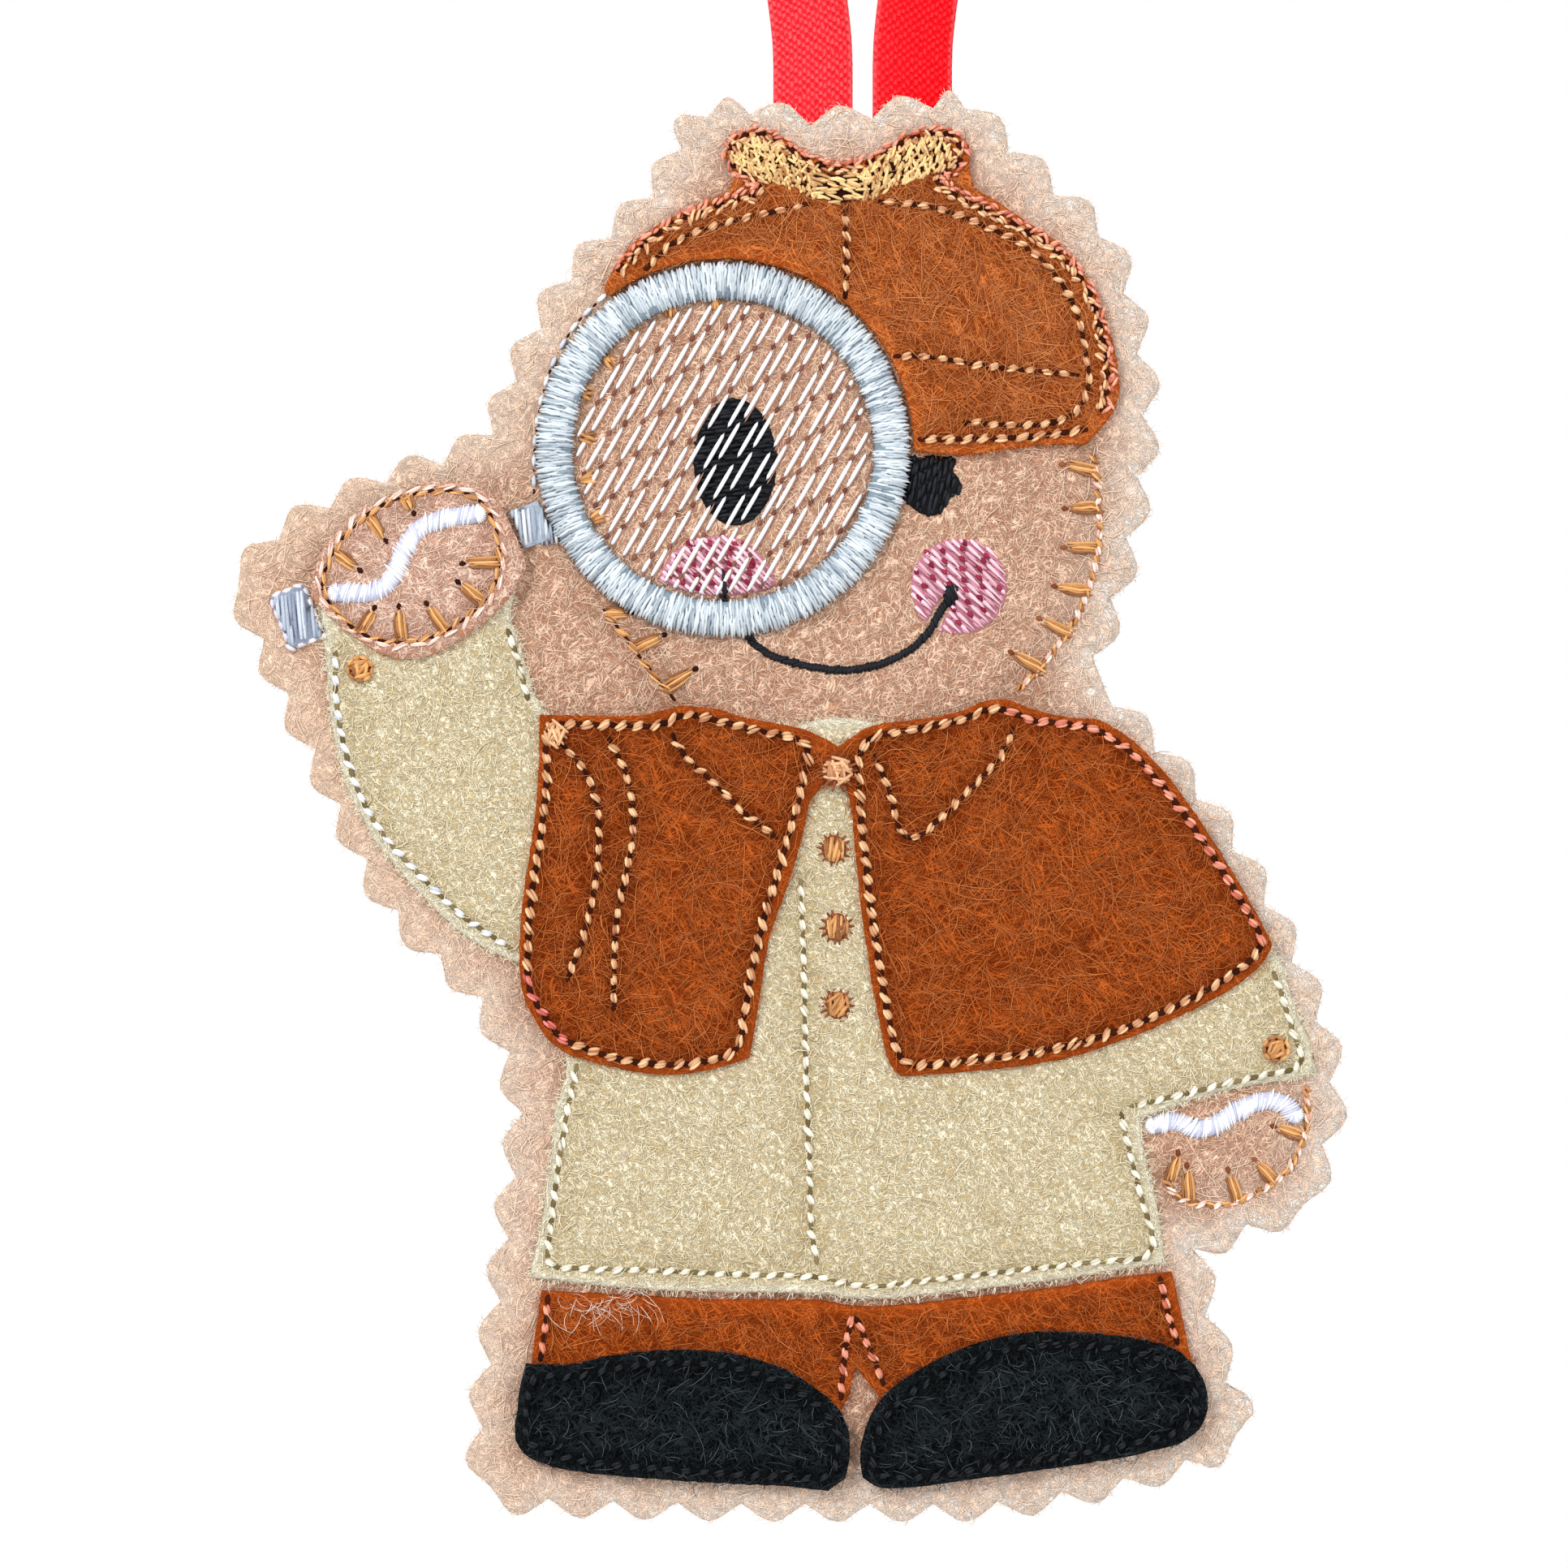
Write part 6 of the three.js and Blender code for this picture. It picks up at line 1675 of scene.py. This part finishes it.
def build_felts():
    over_front = bare(HAT_FELT, COAT_FELT, TROUSERS_FELT, LEFT_SHOE_FELT, RIGHT_SHOE_FELT,
                      embroidered=["open_eye", "magnified_eye", "cheek", "magnified_cheek", "smile",
                                   "magnifier_ferrule", "magnifier_handle_cap", "lowered_hand_icing"])
    build_felt(FRONT_FELT, TAN, TAN_FIBRE, "tan_felt", 0.75, "stabiliser_sheet", 2.4, 1.7, over_front,
               edge_density=6.0, edge_length=0.36, radius=0.038, curl=1.1, pale=0.65, seed=201)
    build_felt(BACK_FELT, TAN, TAN_FIBRE, "tan_felt", 0.9, "stabiliser_sheet", 0.5, 2.0, edge_density=5.0,
               edge_length=0.36, pale=0.4, seed=203)
    build_felt(HAT_FELT, HAT_RUST, HAT_FIBRE, "rust_felt", 0.55, "front_felt_fabric", 3.4, 3.2, bare(),
               radius=0.03, seed=205)
    build_felt(COAT_FELT, CREAM, CREAM_FIBRE, "cream_felt", 0.6, "front_felt_fabric", 3.0, 1.1,
               bare(CAPE_FELT, RAISED_HAND_FELT), edge_density=9.0, edge_length=0.6, radius=0.043, curl=2.2,
               pale=0.5, seed=207)
    build_felt(TROUSERS_FELT, RUST, RUST_FIBRE, "rust_felt", 0.6, "front_felt_fabric", 2.6, 2.8,
               bare(LEFT_SHOE_FELT, RIGHT_SHOE_FELT), radius=0.03, seed=209)
    build_felt(CAPE_FELT, RUST, RUST_FIBRE, "rust_felt", 0.55, "coat_felt_fabric", 2.6, 3.0, radius=0.03,
               seed=211)
    for felt, seed in ((LEFT_SHOE_FELT, 213), (RIGHT_SHOE_FELT, 215)):
        build_felt(felt, CHARCOAL, CHARCOAL_FIBRE, "black_felt", 0.55, "trousers_felt_fabric", 1.5, 1.4,
                   seed=seed)
    build_felt(RAISED_HAND_FELT, HAND, HAND_FIBRE, "hand_felt", 0.55, "coat_felt_fabric", 2.2, 1.8, seed=217)


TUFT_SHARE = (0.335, 0.157)
TUFT_FIBRES = 60


def build_tuft():
    """Long pale fibres that hang from the coat's hem over the left leg."""
    start = in_frame(TUFT_SHARE) + rng.normal(0, 1, (TUFT_FIBRES, 2)) * (1.5, 0.4)
    heading = rng.normal(-0.9, 0.8, (TUFT_FIBRES, 1))
    angle = heading + rng.normal(0, 1.6, (TUFT_FIBRES, 1)) * np.linspace(0, 1, 6)
    length = rng.lognormal(0.8, 0.35, (TUFT_FIBRES, 1, 1))
    flat = start[:, None] + np.cumsum(ways_at(angle) * length / 6, axis=1)
    above = rng.uniform(0.05, 0.35, (TUFT_FIBRES, 1)) * np.array([0.2, 0.7, 1.0, 1.0, 0.7, 0.3])
    stock = Stock()
    stock.add_strands(Plane(GARMENT_TOP), flat, above, [0.028, 0.032, 0.032, 0.028], sides=3)
    stock.piece("hem_tuft", [TUFT_FIBRE], "cream_felt")


SHEET_HALF = 0.15


def build_stabiliser():
    """The sheet that the embroidery was stitched on, out of sight between the felts."""
    sheet = Felt("stabiliser_sheet", -SHEET_HALF, SHEET_HALF, edge=0.05, swell=0.0, seed=301)
    sheet.map[:] = 2 * SHEET_HALF
    sheet.build(PALE_SHEET, "pale_sheet", 2.5, ["back_felt_fabric"])


def build_seams():
    for felt in (FRONT_FELT, HAT_FELT, COAT_FELT, TROUSERS_FELT, CAPE_FELT, LEFT_SHOE_FELT, RIGHT_SHOE_FELT,
                 RAISED_HAND_FELT, BACK_FELT):
        for seam in felt.seams:
            seam.build(felt)


def build_face():
    build_eye("magnified_eye", rear_outlines("magnified_eye"), 0.12, 0.34, 1.9, 0.2, 0.08, seed=21)
    open_eye = smooth_line(all_in_frame(OPEN_EYE_SHARES), 5, closed=True)
    build_eye("open_eye", [open_eye], 1.3, 0.32, 1.3, 0.19, 0.1, seed=22)
    build_cheek("cheek", seed=5)
    build_cheek("magnified_cheek", seed=6)
    base = Plane(BASE_TOP)
    build_band("smile", SMILE_SHARES, 0.6, 0.3, 0.4, 0.32, BLACK, "black_thread", base)
    build_smile_end(base)


def build_icing():
    for node, shares, level in (("raised_hand_icing", RAISED_ICING_SHARES, OVERLAY_TOP),
                                ("lowered_hand_icing", LOWERED_ICING_SHARES, BASE_TOP)):
        build_band(node, shares, 1.65, 0.19, 0.25, 0.6, ICING, "white_thread", Plane(level))


def build_buttons():
    """Each heap over a button is given as angle, spread, amount of strands, height and share of its size."""
    for name in ("coat_button_top", "coat_button_middle", "coat_button_bottom"):
        build_button(name, GARMENT_TOP, (2.1, 2.4), 14,
                     [(1.5, 0.35, 8, 0.45, 0.9), (1.2, 0.7, 4, 0.58, 0.85)])
    for name in ("cuff_button_left", "cuff_button_right"):
        build_button(name, GARMENT_TOP, (2.3, 2.2), 0, [(0.5, 0.5, 9, 0.5, 0.8), (1.1, 0.8, 4, 0.6, 0.7)])
    build_button("neck_button", OVERLAY_TOP, (2.7, 2.6), 14,
                 [(0.2, 0.9, 7, 0.45, 0.95), (1.4, 0.9, 6, 0.55, 0.8), (-0.7, 0.9, 5, 0.62, 0.6)],
                 thread=PALE_GOLD)


def build_embroidery():
    build_rim()
    build_handle()
    build_hatch()
    build_face()
    build_icing()
    build_buttons()
    build_knot()
    build_bow()
    base = Plane(BASE_TOP)
    build_gold_crumbs(base)
    build_rim_seam(base)
    build_smile_start(base)


# The camera, the lights, the background and the floor

VIEW_WIDTH = 125.0
CAMERA_LENS = 100.0
CAMERA_SENSOR = 36.0
CAMERA_DISTANCE = VIEW_WIDTH * CAMERA_LENS / CAMERA_SENSOR
VIEW_CENTRE_SHARE = (0.498, 0.513)
FACE_PLANE = -1.5
AMBIENT = 0.69
FLOOR_HEIGHT = -250.0
FLOOR_REACH = 0.3
FLOOR_FADE = (255.0, 320.0)
PURE_WHITE = (1.0, 1.0, 1.0, 1.0)


def place_camera():
    camera = bpy.data.cameras.new("view")
    camera.sensor_width = CAMERA_SENSOR
    camera.lens = CAMERA_LENS
    camera.clip_start = 0.01
    place = placed("view", camera)
    x, z = in_frame(VIEW_CENTRE_SHARE)
    place.location = (x * MM, (FACE_PLANE - CAMERA_DISTANCE) * MM, z * MM)
    place.rotation_euler = (math.pi / 2, 0, 0)
    bpy.context.scene.camera = place


LAMP_AIM = Vector((-0.006, 0, -0.12))


def add_lamp(name, place, size, power):
    """A round lamp aimed at the figure's middle."""
    light = bpy.data.lights.new(name, "AREA")
    light.shape = "DISK"
    light.size = size
    light.energy = power
    lamp = placed(name, light)
    lamp.location = place
    lamp.rotation_euler = (LAMP_AIM - Vector(place)).to_track_quat("-Z", "Y").to_euler()


def seen_directly(tree):
    """1 for camera rays and for rays off or through a shiny surface, else 0."""
    path = tree.nodes.new("ShaderNodeLightPath")
    total = path.outputs["Is Camera Ray"]
    for name in ("Is Glossy Ray", "Is Transmission Ray"):
        add = tree.nodes.new("ShaderNodeMath")
        add.operation = "MAXIMUM"
        tree.links.new(total, add.inputs[0])
        tree.links.new(path.outputs[name], add.inputs[1])
        total = add.outputs[0]
    return total


def light_world():
    """An even light from all sides, which looks pure white itself."""
    world = bpy.data.worlds.new("studio")
    bpy.context.scene.world = world
    world.use_nodes = True
    tree = world.node_tree
    ambient = tree.nodes["Background"]
    ambient.inputs["Color"].default_value = PURE_WHITE
    ambient.inputs["Strength"].default_value = AMBIENT
    white = tree.nodes.new("ShaderNodeBackground")
    white.inputs["Color"].default_value = PURE_WHITE
    mix = tree.nodes.new("ShaderNodeMixShader")
    tree.links.new(seen_directly(tree), mix.inputs["Fac"])
    tree.links.new(ambient.outputs["Background"], mix.inputs[1])
    tree.links.new(white.outputs["Background"], mix.inputs[2])
    tree.links.new(mix.outputs["Shader"], tree.nodes["World Output"].inputs["Surface"])


def lay_floor():
    """A pale floor that fades into the white background."""
    mesh = bpy.data.meshes.new("floor")
    corners = [(-1, -1), (1, -1), (1, 1), (-1, 1)]
    points = [(x * FLOOR_REACH, y * FLOOR_REACH, FLOOR_HEIGHT * MM) for x, y in corners]
    mesh.from_pydata(points, [], [(0, 1, 2, 3)])
    floor = placed("floor", mesh)
    shader = Shader("pale_floor", roughness=0.9, specular=0.1)
    grain = shader.noise(shader.place, 0.02, detail=2)
    shader.set("Base Color", shader.mixed(grain, colour(238, 238, 238), colour(244, 244, 244)))
    from_middle = shader.node("ShaderNodeVectorMath", {0: shader.place}, operation="LENGTH").outputs["Value"]
    white = shader.node("ShaderNodeEmission", {"Color": PURE_WHITE}).outputs["Emission"]
    fade = shader.times(shader.ranged(from_middle, *FLOOR_FADE), seen_directly(shader.tree))
    mix = shader.node("ShaderNodeMixShader", {0: fade, 1: shader.surface.outputs["BSDF"], 2: white})
    shader.tree.links.new(mix.outputs["Shader"], shader.tree.nodes["Material Output"].inputs["Surface"])
    mesh.materials.append(shader.material)


place_camera()
build_ribbon()
build_stabiliser()
build_felts()
build_tuft()
build_seams()
build_embroidery()
add_lamp("key", (-0.35, -0.55, 0.25), 0.35, 3.4)
add_lamp("fill", (0.45, -0.5, -0.05), 0.4, 1.2)
light_world()
lay_floor()
bpy.context.scene.view_settings.view_transform = "Standard"
